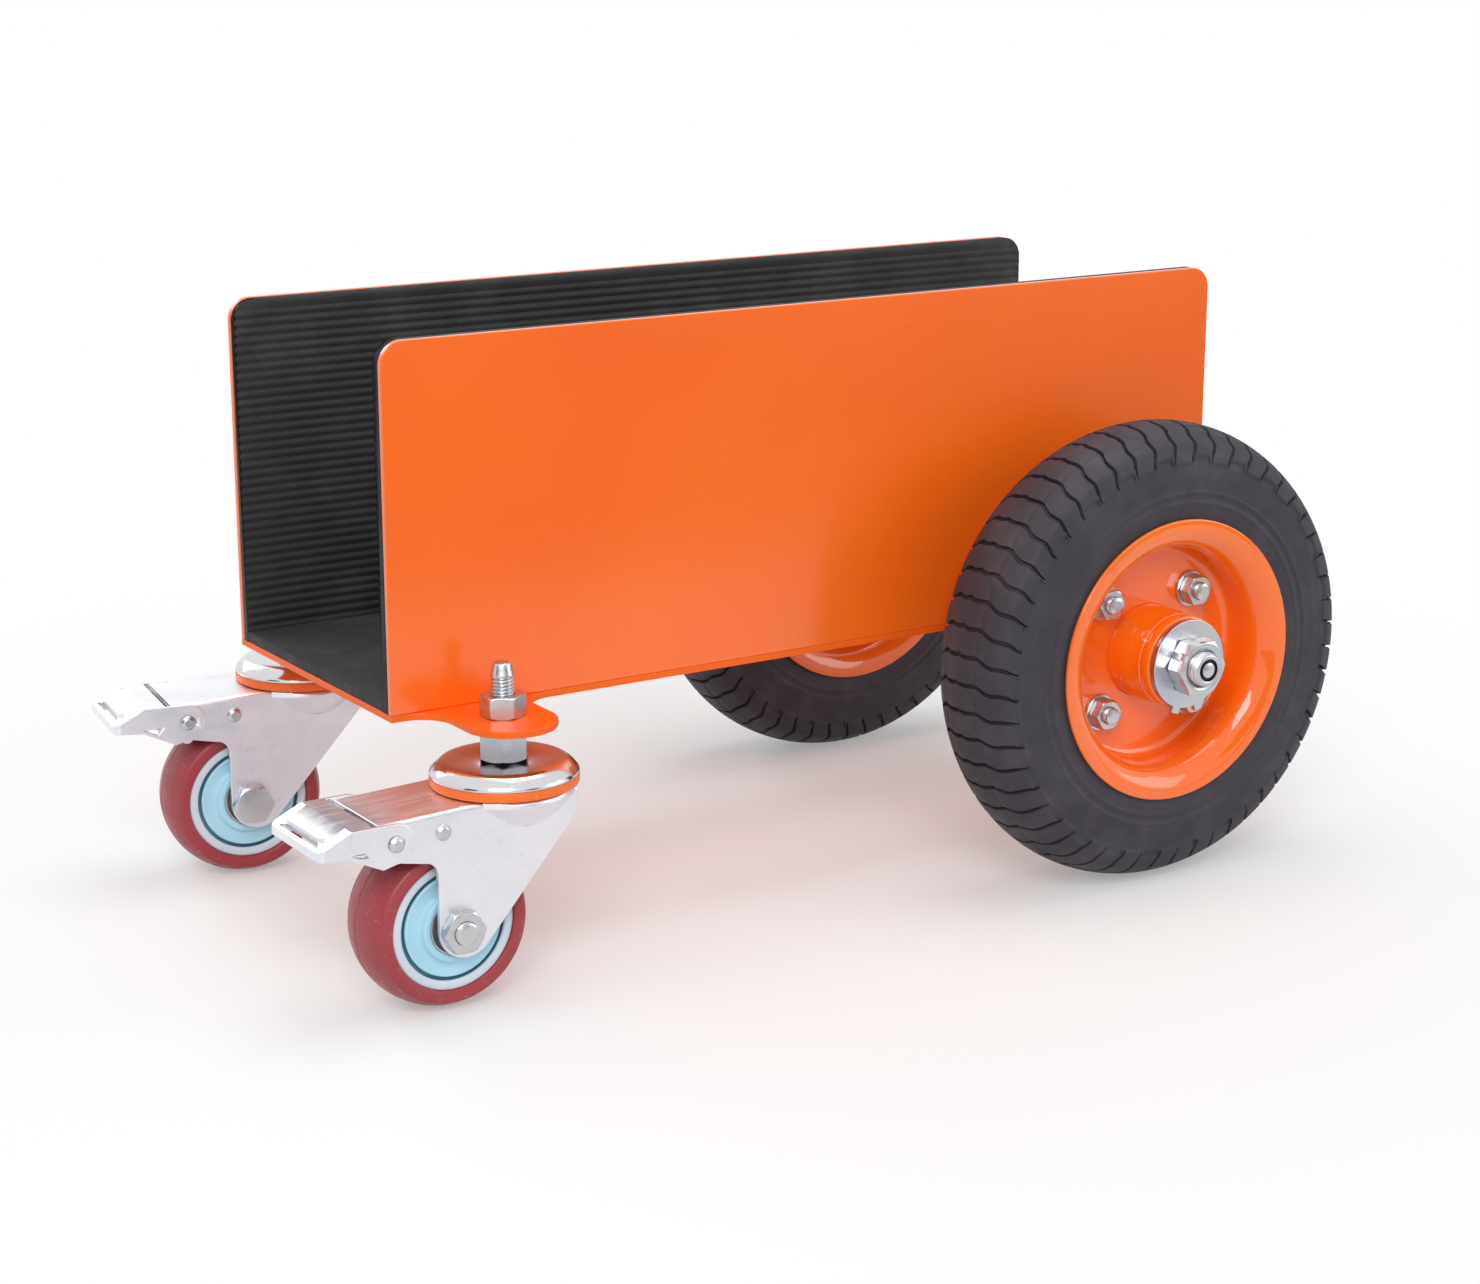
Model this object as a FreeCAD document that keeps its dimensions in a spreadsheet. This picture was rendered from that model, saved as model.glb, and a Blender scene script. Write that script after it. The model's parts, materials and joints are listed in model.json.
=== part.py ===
import FreeCAD, Part
import math
import os
import re
import Sketcher

# A door dolly: a padded steel channel that carries the lower edge of a door or
# panel, on two large wheels at the back and two braked swivel casters in front.
# +X runs from the casters to the large wheels, +Z is up, and the floor is z = 0.
# Left is -Y and right is +Y. The origin is on the floor, under the middle.

V = FreeCAD.Vector

# Driving dimensions in millimetres, and angles in degrees
SIZES = {
    # Used all over
    "shaft_fit": 0.05,
    "hex_chamfer_angle": 30,
    "cut_room": 20,
    # Frame
    "base_length": 440,
    "base_width": 154,
    "base_sheet": 3,
    "side_height": 156,
    "side_sheet": 3,
    "side_corner": 10,
    "side_pad_thickness": 5,
    "floor_pad_thickness": 5,
    "lug_radius": 20,
    "lug_tip_shift": 6,
    "lug_root_fillet": 15,
    "stem_inset": 40,
    "stem_reach": 23,
    # Axle of the large wheels
    "axle_x": 156.5,
    "axle_inset": 78,
    "axle_diameter": 16,
    "axle_base_gap": 0.3,
    "axle_end_length": 3.5,
    "axle_end_chamfer": 1.2,
    "axle_nut_flats": 24,
    "axle_nut_height": 10,
    "axle_washer_diameter": 41.5,
    "axle_washer_thickness": 3,
    "washer_tab_length": 2.8,
    "washer_tab_width": 4.5,
    "washer_tab_angle": 18,
    "bracket_thickness": 6,
    "bracket_width": 56,
    "bracket_eye_radius": 17,
    "axle_spacer_diameter": 23,
    "axle_spacer_length": 20,
    # Large wheels
    "tyre_diameter": 215,
    "tyre_tread_width": 44,
    "tyre_crown_radius": 36,
    "tyre_side_radius": 46,
    "tyre_bead_lip": 1.5,
    "tread_groove_depth": 2.2,
    "tread_groove_width": 2.6,
    "tread_groove_sweep": 6.5,
    "tread_groove_run": 10,
    "tread_ring_shift": 10,
    "tyre_fit": 0.1,
    "rim_width": 54,
    "rim_sheet": 2,
    "rim_disc_width": 31,
    "rim_flange_height": 13,
    "rim_flange_bend": 11,
    "rim_disc_bend": 6,
    "rim_bolt_inset": 10,
    "rim_bolt_diameter": 8,
    "rim_bolt_end": 3,
    "rim_head_height": 5.3,
    "rim_nut_flats": 13,
    "rim_nut_height": 6.5,
    "rim_washer_diameter": 17,
    "rim_washer_thickness": 1.6,
    "hub_wall": 4.5,
    "hub_proud": 3,
    "hub_end_gap": 0.5,
    "bearing_diameter": 35,
    "bearing_width": 11,
    "bearing_ring": 2.75,
    "bearing_shoulder": 2.5,
    "bearing_shield": 0.8,
    "bearing_shield_gap": 0.3,
    "bearing_play": 0.1,
    "bearing_spacer_wall": 2.5,
    # Casters
    "caster_wheel_diameter": 75,
    "caster_tread_inset": 1.5,
    "caster_crown_radius": 34,
    "caster_core_diameter": 56,
    "caster_core_width": 35,
    "caster_hub_proud": 2.5,
    "caster_groove_inset": 5,
    "caster_groove_width": 3,
    "caster_groove_depth": 2.5,
    "caster_trail": 33,
    "caster_axle_diameter": 10,
    "caster_axle_end": 2,
    "caster_nut_flats": 17,
    "caster_nut_height": 5,
    "caster_bearing_diameter": 24,
    "caster_bearing_width": 8,
    "caster_bearing_step": 2,
    "caster_hub_wall": 3,
    "caster_bush_diameter": 16,
    "caster_play": 0.3,
    "right_caster_swing": -8,
    # Swivel heads
    "stem_diameter": 10,
    "stem_length": 23,
    "stem_taper": 5,
    "stem_tip_diameter": 7.5,
    "stem_hex_flats": 19,
    "stem_hex_room": 15.2,
    "stem_nut_flats": 17,
    "stem_nut_turn": 30,
    "stem_nut_height": 9.5,
    "kingpin_head_diameter": 16,
    "kingpin_head_height": 5,
    "kingpin_washer_diameter": 26,
    "kingpin_washer_thickness": 2,
    "swivel_diameter": 63,
    "swivel_gap": 0.4,
    "swivel_ring_height": 4.2,
    "swivel_ring_width": 6,
    "swivel_ball_diameter": 5,
    "swivel_ball_inset": 4,
    "cap_height": 6.1,
    "cap_rim_height": 1.2,
    "cap_flat_diameter": 52,
    "cap_dome_radius": 20,
    # Forks
    "fork_sheet": 2.5,
    "fork_side_room": 1.5,
    "wheel_headroom": 12.4,
    "turret_height": 13,
    "turret_taper": 8.5,
    "turret_gap_setback": 16,
    "leg_end_radius": 12.5,
    "leg_shift": 3,
    "leg_front_angle": 49,
    "fork_front_drop": 10.5,
    "arm_end": 6.5,
    "arm_drop": 1.5,
    "arm_depth": 15.4,
    "shoulder_depth": 21,
    "shoulder_radius": 6,
    "fork_rivet_diameter": 4,
    "fork_rivet_setback": 6.7,
    "fork_rivet_drop": 9.1,
    "rivet_head_diameter": 7.5,
    "rivet_head_height": 1.6,
    "rivet_crown_diameter": 4,
    # Brake pedals
    "pivot_setback": 29,
    "pivot_drop": 9.5,
    "pivot_diameter": 4.6,
    "pedal_sheet": 2,
    "pedal_side_gap": 0.4,
    "pedal_eye_radius": 8.5,
    "pedal_arm_gap": 3,
    "pedal_length": 34,
    "pedal_tip_drop": 3.9,
    "pedal_tip_depth": 7.5,
    "pedal_heel_drop": 19.5,
    "pedal_heel_setback": 6,
    "pedal_bend_drop": 12.4,
    "pedal_bend_setback": 21,
    "pedal_top_setback": 19.5,
    "pedal_flap_width": 36,
    "pedal_slot": 2,
    "clip_hole_setback": 16.8,
    "clip_hole_drop": 11,
    "clip_hole_size": 3,
    "cam_width": 24,
    "cam_barrel_radius": 4.4,
    "cam_nose_radius": 3,
    "cam_tread_gap": 0.4,
    "cam_rest_angle": 13,
}

# Sizes that follow from the driving ones
DERIVED = {
    "half_width": "base_width / 2",
    "base_rear": "axle_x + axle_inset",
    "base_front": "base_rear - base_length",
    "axle_height": "tyre_diameter / 2",
    "axle_radius": "axle_diameter / 2",
    "axle_bore": "axle_radius + shaft_fit",
    "base_bottom": "max(axle_height + axle_radius + axle_base_gap; cap_top + stem_hex_room)",
    "base_top": "base_bottom + base_sheet",
    "stem_x": "base_front + stem_inset",
    "stem_y": "half_width + stem_reach",
    "lug_y": "stem_y + lug_tip_shift",
    "channel_width": "base_width - 2 * side_sheet - 2 * side_pad_thickness",
    # Along a large wheel's axle, outwards from the middle of the tyre
    "hub_end": "rim_width / 2 + hub_proud",
    "bearing_inner_face": "hub_end - bearing_width",
    "washer_face": "hub_end + hub_end_gap",
    "nut_face": "washer_face + axle_washer_thickness",
    "axle_end": "nut_face + axle_nut_height + axle_end_length",
    "wheel_track": "2 * (half_width + axle_spacer_length + washer_face)",
    "axle_half_length": "wheel_track / 2 + axle_end",
    "rim_half": "rim_width / 2",
    "hub_radius": "bearing_radius + hub_wall",
    "rim_seat": "hub_radius + rim_disc_width",
    "rim_flange": "rim_seat + rim_flange_height",
    "rim_bolt_reach": "rim_seat - rim_disc_bend - rim_bolt_inset",
    "rim_bend_start": "rim_half - rim_sheet - rim_flange_bend",
    "tread_half": "tyre_tread_width / 2",
    "tyre_shoulder": "axle_height - tyre_crown_radius + sqrt(tyre_crown_radius ^ 2 - tread_half ^ 2)",
    "bead_half": "rim_half - rim_sheet - tyre_fit",
    "ring_inner": "tread_ring_shift - tread_groove_width / 2",
    "ring_outer": "tread_ring_shift + tread_groove_width / 2",
    "groove_radius": "tyre_crown_radius - tread_groove_depth",
    "groove_half": "tread_half * groove_radius / tyre_crown_radius",
    "groove_shoulder": "axle_height - tyre_crown_radius + sqrt(groove_radius ^ 2 - groove_half ^ 2)",
    "groove_end": "groove_shoulder - tread_groove_run",
    "groove_reach": "rim_half + rim_sheet",
    "bearing_radius": "bearing_diameter / 2",
    "race_inner": "axle_radius + bearing_ring",
    "race_outer": "bearing_radius - bearing_ring",
    "bearing_ball": "(race_outer - race_inner) / 2 - bearing_play",
    # Heights of a caster
    "caster_radius": "caster_wheel_diameter / 2",
    "caster_tread_width": "caster_core_width - 2 * caster_tread_inset",
    "caster_core_web": "caster_core_width - 2 * caster_hub_proud",
    "caster_groove_diameter": "caster_core_diameter - 2 * caster_groove_inset",
    "fork_inner_width": "caster_core_width + 2 * fork_side_room",
    "fork_under": "caster_wheel_diameter + wheel_headroom",
    "fork_top": "fork_under + fork_sheet",
    "ring_bottom": "fork_top + swivel_gap",
    "ring_top": "ring_bottom + swivel_ring_height",
    "cap_top": "ring_top + cap_height",
    "race_roof": "fork_top + swivel_ball_diameter + 2 * bearing_play",
    "stem_end": "base_top + stem_length",
    "kingpin_seat": "fork_under - swivel_gap - kingpin_washer_thickness",
    "swivel_radius": "swivel_diameter / 2",
    "ring_bore": "swivel_radius - swivel_ring_width",
    "swivel_ball_reach": "ring_bore - swivel_ball_inset - swivel_ball_diameter / 2",
    # Across a caster's fork, from its middle
    "leg_inner": "fork_inner_width / 2",
    "leg_outer": "leg_inner + fork_sheet",
    "cheek_inner": "leg_outer + pedal_side_gap",
    "cheek_outer": "cheek_inner + pedal_sheet",
    # Along a caster's fork, from the stem
    "leg_x": "leg_shift - caster_trail",
    "leg_rear": "leg_x - leg_end_radius",
    "leg_turn_x": "leg_x + leg_end_radius * sin(leg_front_angle)",
    "leg_turn_z": "caster_radius - leg_end_radius * cos(leg_front_angle)",
    "front_z": "fork_top - fork_front_drop",
    "front_x": "leg_turn_x + (front_z - leg_turn_z) / tan(leg_front_angle)",
    "arm_top": "fork_top - arm_drop",
    "arm_reach": "caster_trail + pivot_setback + arm_end",
    "rivet_x": "-caster_trail - fork_rivet_setback",
    "rivet_z": "fork_top - fork_rivet_drop",
    "pivot_x": "-caster_trail - pivot_setback",
    "pivot_z": "fork_top - pivot_drop",
    "pedal_top_x": "pivot_x - pedal_top_setback",
    "pedal_top_z": "pivot_z + pedal_eye_radius",
    "pedal_tip_z": "fork_top - pedal_tip_drop",
    "pedal_reach": "caster_trail + pivot_setback + pedal_length",
    "pedal_wall_x": "pedal_sheet - pedal_reach",
    "pedal_flap_x": "pedal_wall_x + pedal_slot",
    "cam_reach": "sqrt(pivot_setback ^ 2 + (pivot_z - caster_radius) ^ 2) - caster_radius - cam_tread_gap",
}

SIDES = (("left", -1), ("right", 1))
BALLS_PER_BEARING = 10
BALLS_PER_SWIVEL = 16
RIM_BOLT_ANGLES = (45, 135, 225, 315)
TREAD_GROOVES = 52

doc = FreeCAD.newDocument("DoorDolly")
sheet = doc.addObject("Spreadsheet::Sheet", "dims")
for row, (alias, size) in enumerate(SIZES.items(), start=1):
    sheet.set(f"A{row}", str(size))
    sheet.setAlias(f"A{row}", alias)
doc.recompute()

nodes = []
pockets = []


def formula(text):
    """Spell a size out in the sheet's cells."""

    def spell(match):
        word = match.group()
        if word in DERIVED:
            return "(" + formula(DERIVED[word]) + ")"
        return "dims." + word if word in SIZES else word

    return re.sub(r"[a-z_]+", spell, str(text))


def value(text):
    return float(sheet.evalExpression(formula(text)))


def bind(obj, prop, text):
    obj.setExpression(prop, formula(text))


def node(label, obj):
    """Name a finished sub-part; the label is also its file's name."""
    obj.Label = label
    nodes.append(obj)
    return obj


def turnable(obj, axis):
    """Give obj an axis to turn about; a placement with no turn would lose it."""
    obj.Placement = FreeCAD.Placement(V(0, 0, 0), FreeCAD.Rotation(axis, 1))


def place(obj, spot, turn=0, reach=0, side=0):
    """Put obj at spot, turned about the vertical, then moved along its own turned X and Y."""
    x, y, z = spot
    turnable(obj, V(0, 0, 1))
    bind(obj, "Placement.Base.x", f"({x}) + ({reach}) * cos({turn}) - ({side}) * sin({turn})")
    bind(obj, "Placement.Base.y", f"({y}) + ({reach}) * sin({turn}) + ({side}) * cos({turn})")
    bind(obj, "Placement.Base.z", z)
    bind(obj, "Placement.Rotation.Angle", turn)
    return obj


def attached_sketch(body, role):
    sketch = body.newObject("Sketcher::SketchObject", "Sketch")
    plane = next(p for p in body.Origin.OriginFeatures if p.Role == role)
    sketch.AttachmentSupport = [(plane, "")]
    sketch.MapMode = "FlatFace"
    return sketch


def fix_point(sketch, geometry, end, x, y):
    """Hold one end of a line or arc, or a circle's centre, at sizes of the sheet."""
    for kind, text in (("DistanceX", x), ("DistanceY", y)):
        held = sketch.addConstraint(Sketcher.Constraint(kind, -1, 1, geometry, end, value(text)))
        bind(sketch, f"Constraints[{held}]", text)


def fix_radius(sketch, geometry, radius):
    held = sketch.addConstraint(Sketcher.Constraint("Radius", geometry, value(radius)))
    bind(sketch, f"Constraints[{held}]", radius)


def arc_between(start, end, radius, turn):
    """The short arc from start to end that turns left or right."""
    chord = end - start
    left = V(-chord.y, chord.x, 0).normalize()
    inward = left if turn == "left" else -left
    rise = math.sqrt(max(radius ** 2 - chord.Length ** 2 / 4, 0))
    centre = (start + end) / 2 + inward * rise
    return Part.Arc(start, centre - inward * radius, end)


def outline(sketch, path):
    """Draw a closed loop. A step is the end of a line, or with a radius and a turn, of an arc."""
    first = sketch.GeometryCount
    corners = [V(value(step[0]), value(step[1]), 0) for step in path]
    ends = []
    for index, step in enumerate(path):
        start, end = corners[index - 1], corners[index]
        if len(step) == 2:
            sketch.addGeometry(Part.LineSegment(start, end), False)
        else:
            sketch.addGeometry(arc_between(start, end, value(step[2]), step[3]), False)
        backwards = len(step) == 4 and step[3] == "right"
        ends.append((2, 1) if backwards else (1, 2))
    for index, step in enumerate(path):
        here = first + index
        following = (index + 1) % len(path)
        joint = Sketcher.Constraint("Coincident", here, ends[index][1], first + following, ends[following][0])
        sketch.addConstraint(joint)
        fix_point(sketch, here, ends[index][1], step[0], step[1])
        if len(step) == 4:
            fix_radius(sketch, here, step[2])


def padded(body, role, paths, thickness):
    """Add loops on one origin plane, padded evenly to both sides of it."""
    sketch = attached_sketch(body, role)
    for path in paths:
        outline(sketch, path)
    pad = body.newObject("PartDesign::Pad", "Pad")
    pad.Profile = sketch
    pad.Midplane = True
    bind(pad, "Length", thickness)
    return body


def plate(name, role, path, thickness):
    return padded(doc.addObject("PartDesign::Body", name), role, [path], thickness)


def drill(body, role, holes):
    """Cut round holes right through a body, each given by its centre and diameter."""
    sketch = attached_sketch(body, role)
    for x, y, diameter in holes:
        circle = Part.Circle(V(value(x), value(y), 0), V(0, 0, 1), value(f"({diameter}) / 2"))
        geometry = sketch.addGeometry(circle, False)
        fix_point(sketch, geometry, 3, x, y)
        fix_radius(sketch, geometry, f"({diameter}) / 2")
    pocket = body.newObject("PartDesign::Pocket", "Pocket")
    pocket.Profile = sketch
    pocket.Type = "ThroughAll"
    pocket.Midplane = True
    pockets.append(pocket)
    return body


def turned(name, role, path):
    """Turn a profile about Y, drawn as (y, radius), or about Z, drawn as (radius, z)."""
    body = doc.addObject("PartDesign::Body", name)
    sketch = attached_sketch(body, role)
    outline(sketch, path)
    spin = body.newObject("PartDesign::Revolution", "Revolution")
    spin.Profile = sketch
    spin.ReferenceAxis = (sketch, ["H_Axis" if role == "YZ_Plane" else "V_Axis"])
    spin.Angle = 360
    return body


def collar(name, start, end, inner, outer):
    """A ring about Y, from start to end along it. An inner radius of 0 makes a solid pin."""
    return turned(name, "YZ_Plane", [(start, inner), (end, inner), (end, outer), (start, outer)])


def washer(name, bottom, top, inner, outer):
    """A ring about Z, from bottom to top."""
    return turned(name, "XZ_Plane", [(inner, bottom), (outer, bottom), (outer, top), (inner, top)])


def fused(name, members):
    union = doc.addObject("Part::MultiFuse", name)
    union.Shapes = members
    union.Refine = True
    return union


def cut(name, base, tools):
    result = doc.addObject("Part::Cut", name)
    result.Base = base
    result.Tool = tools[0] if len(tools) == 1 else fused(name + "_tools", tools)
    result.Refine = True
    return result


def group(name, members):
    together = doc.addObject("Part::Compound", name)
    together.Links = members
    return together


def hexagon(flats):
    corner = f"({flats}) / sqrt(3)"
    half_corner = f"({flats}) / sqrt(3) / 2"
    half_flat = f"({flats}) / 2"
    return [
        (corner, 0),
        (half_corner, half_flat),
        (f"-{half_corner}", half_flat),
        (f"-({corner})", 0),
        (f"-{half_corner}", f"-{half_flat}"),
        (half_corner, f"-{half_flat}"),
    ]


def hex_piece(name, axis, flats, height, bore=None):
    """A hexagon about Y or Z with chamfered corners, centred on its height; a bore makes it a nut."""
    body = plate(name + "_hex", "XZ_Plane" if axis == "Y" else "XY_Plane", hexagon(flats), height)
    if bore is not None:
        drill(body, "XZ_Plane" if axis == "Y" else "XY_Plane", [(0, 0, bore)])
    half = f"({height}) / 2"
    corner = f"({flats}) / sqrt(3)"
    waist = f"{half} - ({corner} - ({flats}) / 2) * tan(hex_chamfer_angle)"
    profile = [
        (f"-{half}", 0),
        (half, 0),
        (half, f"({flats}) / 2"),
        (waist, corner),
        (f"-({waist})", corner),
        (f"-{half}", f"({flats}) / 2"),
    ]
    if axis == "Y":
        barrel = turned(name + "_barrel", "YZ_Plane", profile)
    else:
        barrel = turned(name + "_barrel", "XZ_Plane", [(radius, z) for z, radius in profile])
    piece = doc.addObject("Part::Common", name)
    piece.Base = body
    piece.Tool = barrel
    return piece


# Frame


def base_plate():
    """The flat base, with a round-ended lug on each side for a caster's stem."""
    body = doc.addObject("PartDesign::Body", "base_plate_body")
    padded(body, "XY_Plane", [[
        ("base_front", "-half_width"),
        ("base_rear", "-half_width"),
        ("base_rear", "half_width"),
        ("base_front", "half_width"),
    ]], "base_sheet")
    near, far = "stem_x - lug_radius", "stem_x + lug_radius"
    lugs = []
    for sign, bend, tip in ((-1, "right", "left"), (1, "left", "right")):
        edge, root = f"{sign} * half_width", f"{sign} * (half_width + lug_root_fillet)"
        lugs.append([
            (f"{near} - lug_root_fillet", edge),
            (near, root, "lug_root_fillet", bend),
            (near, f"{sign} * lug_y"),
            ("stem_x", f"{sign} * (lug_y + lug_radius)", "lug_radius", tip),
            (far, f"{sign} * lug_y", "lug_radius", tip),
            (far, root),
            (f"{far} + lug_root_fillet", edge, "lug_root_fillet", bend),
            (f"{far} + lug_root_fillet", f"{sign} * (half_width - side_sheet)"),
            (f"{near} - lug_root_fillet", f"{sign} * (half_width - side_sheet)"),
        ])
    padded(body, "XY_Plane", lugs, "base_sheet")
    stem_hole = "stem_diameter + 2 * shaft_fit"
    drill(body, "XY_Plane", [("stem_x", f"{sign} * stem_y", stem_hole) for _, sign in SIDES])
    return place(body, (0, 0, "base_bottom + base_sheet / 2"))


def upright(name, thickness, y):
    """A side plate or its pad: upright on the base, with round upper corners."""
    body = plate(name, "XZ_Plane", [
        ("base_front", 0),
        ("base_rear", 0),
        ("base_rear", "side_height - side_corner"),
        ("base_rear - side_corner", "side_height", "side_corner", "left"),
        ("base_front + side_corner", "side_height"),
        ("base_front", "side_height - side_corner", "side_corner", "left"),
    ], thickness)
    return place(body, (0, y, "base_top"))


def floor_pad():
    half = "channel_width / 2"
    body = plate("floor_pad_body", "XY_Plane", [
        ("base_front", f"-{half}"),
        ("base_rear", f"-{half}"),
        ("base_rear", half),
        ("base_front", half),
    ], "floor_pad_thickness")
    return place(body, (0, 0, "base_top + floor_pad_thickness / 2"))


def axle_bracket(side, sign):
    """A plate under the base whose round eye holds the axle."""
    top = "base_bottom - axle_height"
    body = plate(f"{side}_bracket", "XZ_Plane", [
        ("-bracket_width / 2", top),
        ("-bracket_eye_radius", 0),
        (0, "-bracket_eye_radius", "bracket_eye_radius", "left"),
        ("bracket_eye_radius", 0, "bracket_eye_radius", "left"),
        ("bracket_width / 2", top),
    ], "bracket_thickness")
    drill(body, "XZ_Plane", [(0, 0, "2 * axle_bore")])
    return place(body, ("axle_x", f"{sign} * (half_width - bracket_thickness / 2)", "axle_height"))


def wheel_axle():
    end = "axle_half_length"
    tip = "axle_radius - axle_end_chamfer"
    body = turned("wheel_axle_body", "YZ_Plane", [
        (f"-{end}", 0),
        (end, 0),
        (end, tip),
        (f"{end} - axle_end_chamfer", "axle_radius"),
        (f"-{end} + axle_end_chamfer", "axle_radius"),
        (f"-{end}", tip),
    ])
    return place(body, ("axle_x", 0, "axle_height"))


def wheel_spot(sign):
    return ("axle_x", f"{sign} * wheel_track / 2", "axle_height")


def outward_turn(sign):
    """Wheel parts are drawn with -Y outwards, so the right wheel's are turned round."""
    return 0 if sign < 0 else 180


def axle_washer(side, sign):
    """A round washer with two small tabs at its lower edge."""
    ring = collar(f"{side}_washer_ring", "-nut_face", "-washer_face", "axle_bore", "axle_washer_diameter / 2")
    tabs = []
    for name, lean in (("front", -1), ("rear", 1)):
        tab = plate(f"{side}_washer_tab_{name}", "XZ_Plane", [
            ("-washer_tab_width / 2", "-axle_washer_diameter / 2 - washer_tab_length"),
            ("washer_tab_width / 2", "-axle_washer_diameter / 2 - washer_tab_length"),
            ("washer_tab_width / 2", "washer_tab_width - axle_washer_diameter / 2"),
            ("-washer_tab_width / 2", "washer_tab_width - axle_washer_diameter / 2"),
        ], "axle_washer_thickness")
        turnable(tab, V(0, 1, 0))
        bind(tab, "Placement.Base.y", "-(nut_face + washer_face) / 2")
        bind(tab, "Placement.Rotation.Angle", f"{lean} * washer_tab_angle")
        tabs.append(tab)
    return place(fused(f"{side}_washer", [ring] + tabs), wheel_spot(sign), outward_turn(sign))


def axle_nut(side, sign):
    nut = hex_piece(f"{side}_axle_nut", "Y", "axle_nut_flats", "axle_nut_height", "2 * axle_bore")
    return place(nut, wheel_spot(sign), outward_turn(sign), side="-nut_face - axle_nut_height / 2")


def axle_spacer(side, sign):
    tube = collar(f"{side}_axle_spacer", 0, "axle_spacer_length", "axle_bore", "axle_spacer_diameter / 2")
    return place(tube, ("axle_x", f"{sign} * half_width", "axle_height"), 0 if sign > 0 else 180)


def bearing_inner_rings(side, sign):
    """Both inner rings of one wheel; each stands out of the hub by the end gap."""
    rings = [
        collar(f"{side}_inner_ring_out", "-washer_face", "-bearing_inner_face", "axle_bore", "race_inner"),
        collar(f"{side}_inner_ring_in", "bearing_inner_face", "washer_face", "axle_bore", "race_inner"),
    ]
    return [place(ring, wheel_spot(sign), outward_turn(sign)) for ring in rings]


def bearing_spacer(side, sign):
    outer = "axle_bore + bearing_spacer_wall"
    tube = collar(f"{side}_bearing_spacer", "-bearing_inner_face", "bearing_inner_face", "axle_bore", outer)
    return place(tube, wheel_spot(sign), outward_turn(sign))


def build_frame():
    node("base_plate", base_plate())
    for side, sign in SIDES:
        plate_y = f"{sign} * (half_width - side_sheet / 2)"
        pad_y = f"{sign} * (half_width - side_sheet - side_pad_thickness / 2)"
        node(f"{side}_side_plate", upright(f"{side}_plate_body", "side_sheet", plate_y))
        node(f"{side}_side_pad", upright(f"{side}_pad_body", "side_pad_thickness", pad_y))
    node("floor_pad", floor_pad())
    node("wheel_axle", wheel_axle())
    node("axle_brackets", group("brackets", [axle_bracket(*side) for side in SIDES]))
    node("axle_spacers", group("spacers", [axle_spacer(*side) for side in SIDES]))
    node("axle_tab_washers", group("washers", [axle_washer(*side) for side in SIDES]))
    node("axle_nuts", group("nuts", [axle_nut(*side) for side in SIDES]))
    rings = [ring for side in SIDES for ring in bearing_inner_rings(*side)]
    node("bearing_inner_rings", group("inner_rings", rings))
    node("bearing_spacers", group("bearing_tubes", [bearing_spacer(*side) for side in SIDES]))


# Large wheels


def crown_at(along):
    """The tread's radius at a distance from the tyre's middle."""
    return f"axle_height - tyre_crown_radius + sqrt(tyre_crown_radius ^ 2 - ({along}) ^ 2)"


def tyre_blank():
    """A round tyre between the rim's flanges, with two ring grooves in its tread."""
    bead, bore = "bead_half", "rim_seat + tyre_fit"
    heel, crown = "rim_flange_bend", "tyre_crown_radius"
    lip = "rim_flange + tyre_bead_lip"
    floor = crown_at("tread_ring_shift") + " - tread_groove_depth"
    return turned("tyre_blank", "YZ_Plane", [
        ("rim_bend_start", bore),
        (bead, f"{bore} + {heel}", heel, "left"),
        (bead, lip),
        ("tread_half", "tyre_shoulder", "tyre_side_radius", "left"),
        ("ring_outer", crown_at("ring_outer"), crown, "left"),
        ("ring_outer", floor),
        ("ring_inner", floor),
        ("ring_inner", crown_at("ring_inner")),
        ("-ring_inner", crown_at("ring_inner"), crown, "left"),
        ("-ring_inner", floor),
        ("-ring_outer", floor),
        ("-ring_outer", crown_at("ring_outer")),
        ("-tread_half", "tyre_shoulder", crown, "left"),
        (f"-{bead}", lip, "tyre_side_radius", "left"),
        (f"-{bead}", f"{bore} + {heel}"),
        ("-rim_bend_start", bore, heel, "left"),
    ])


def tread_groove():
    """One groove across the top of the tyre, swept back to both shoulders, above a round floor."""
    half, reach, sweep = "tread_groove_width / 2", "groove_reach", "tread_groove_sweep"
    strip = plate("groove_strip", "XY_Plane", [
        (half, 0),
        (f"{half} - {sweep}", reach),
        (f"-{half} - {sweep}", reach),
        (f"-{half}", 0),
        (f"-{half} - {sweep}", f"-({reach})"),
        (f"{half} - {sweep}", f"-({reach})"),
    ], "2 * (axle_height - rim_flange)")
    bind(strip, "Placement.Base.z", "axle_height")
    floor = turned("groove_floor", "YZ_Plane", [
        (f"-({reach})", 0),
        (reach, 0),
        (reach, "groove_end"),
        ("groove_half", "groove_shoulder"),
        ("-groove_half", "groove_shoulder", "groove_radius", "left"),
        (f"-({reach})", "groove_end"),
    ])
    return cut("groove", strip, [floor])


def grooved_tyre():
    """The tyre of both wheels, with its grooves cut across the tread."""
    groove = tread_groove()
    links = []
    for number in range(TREAD_GROOVES):
        link = doc.addObject("App::Link", "groove_link")
        link.LinkedObject = groove
        link.LinkPlacement = FreeCAD.Placement(V(0, 0, 0), V(0, 1, 0), 360 / TREAD_GROOVES * number)
        links.append(link)
    tyre = cut("tyre_body", tyre_blank(), [group("groove_set", links)])
    tyre.Refine = False
    return tyre


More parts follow.
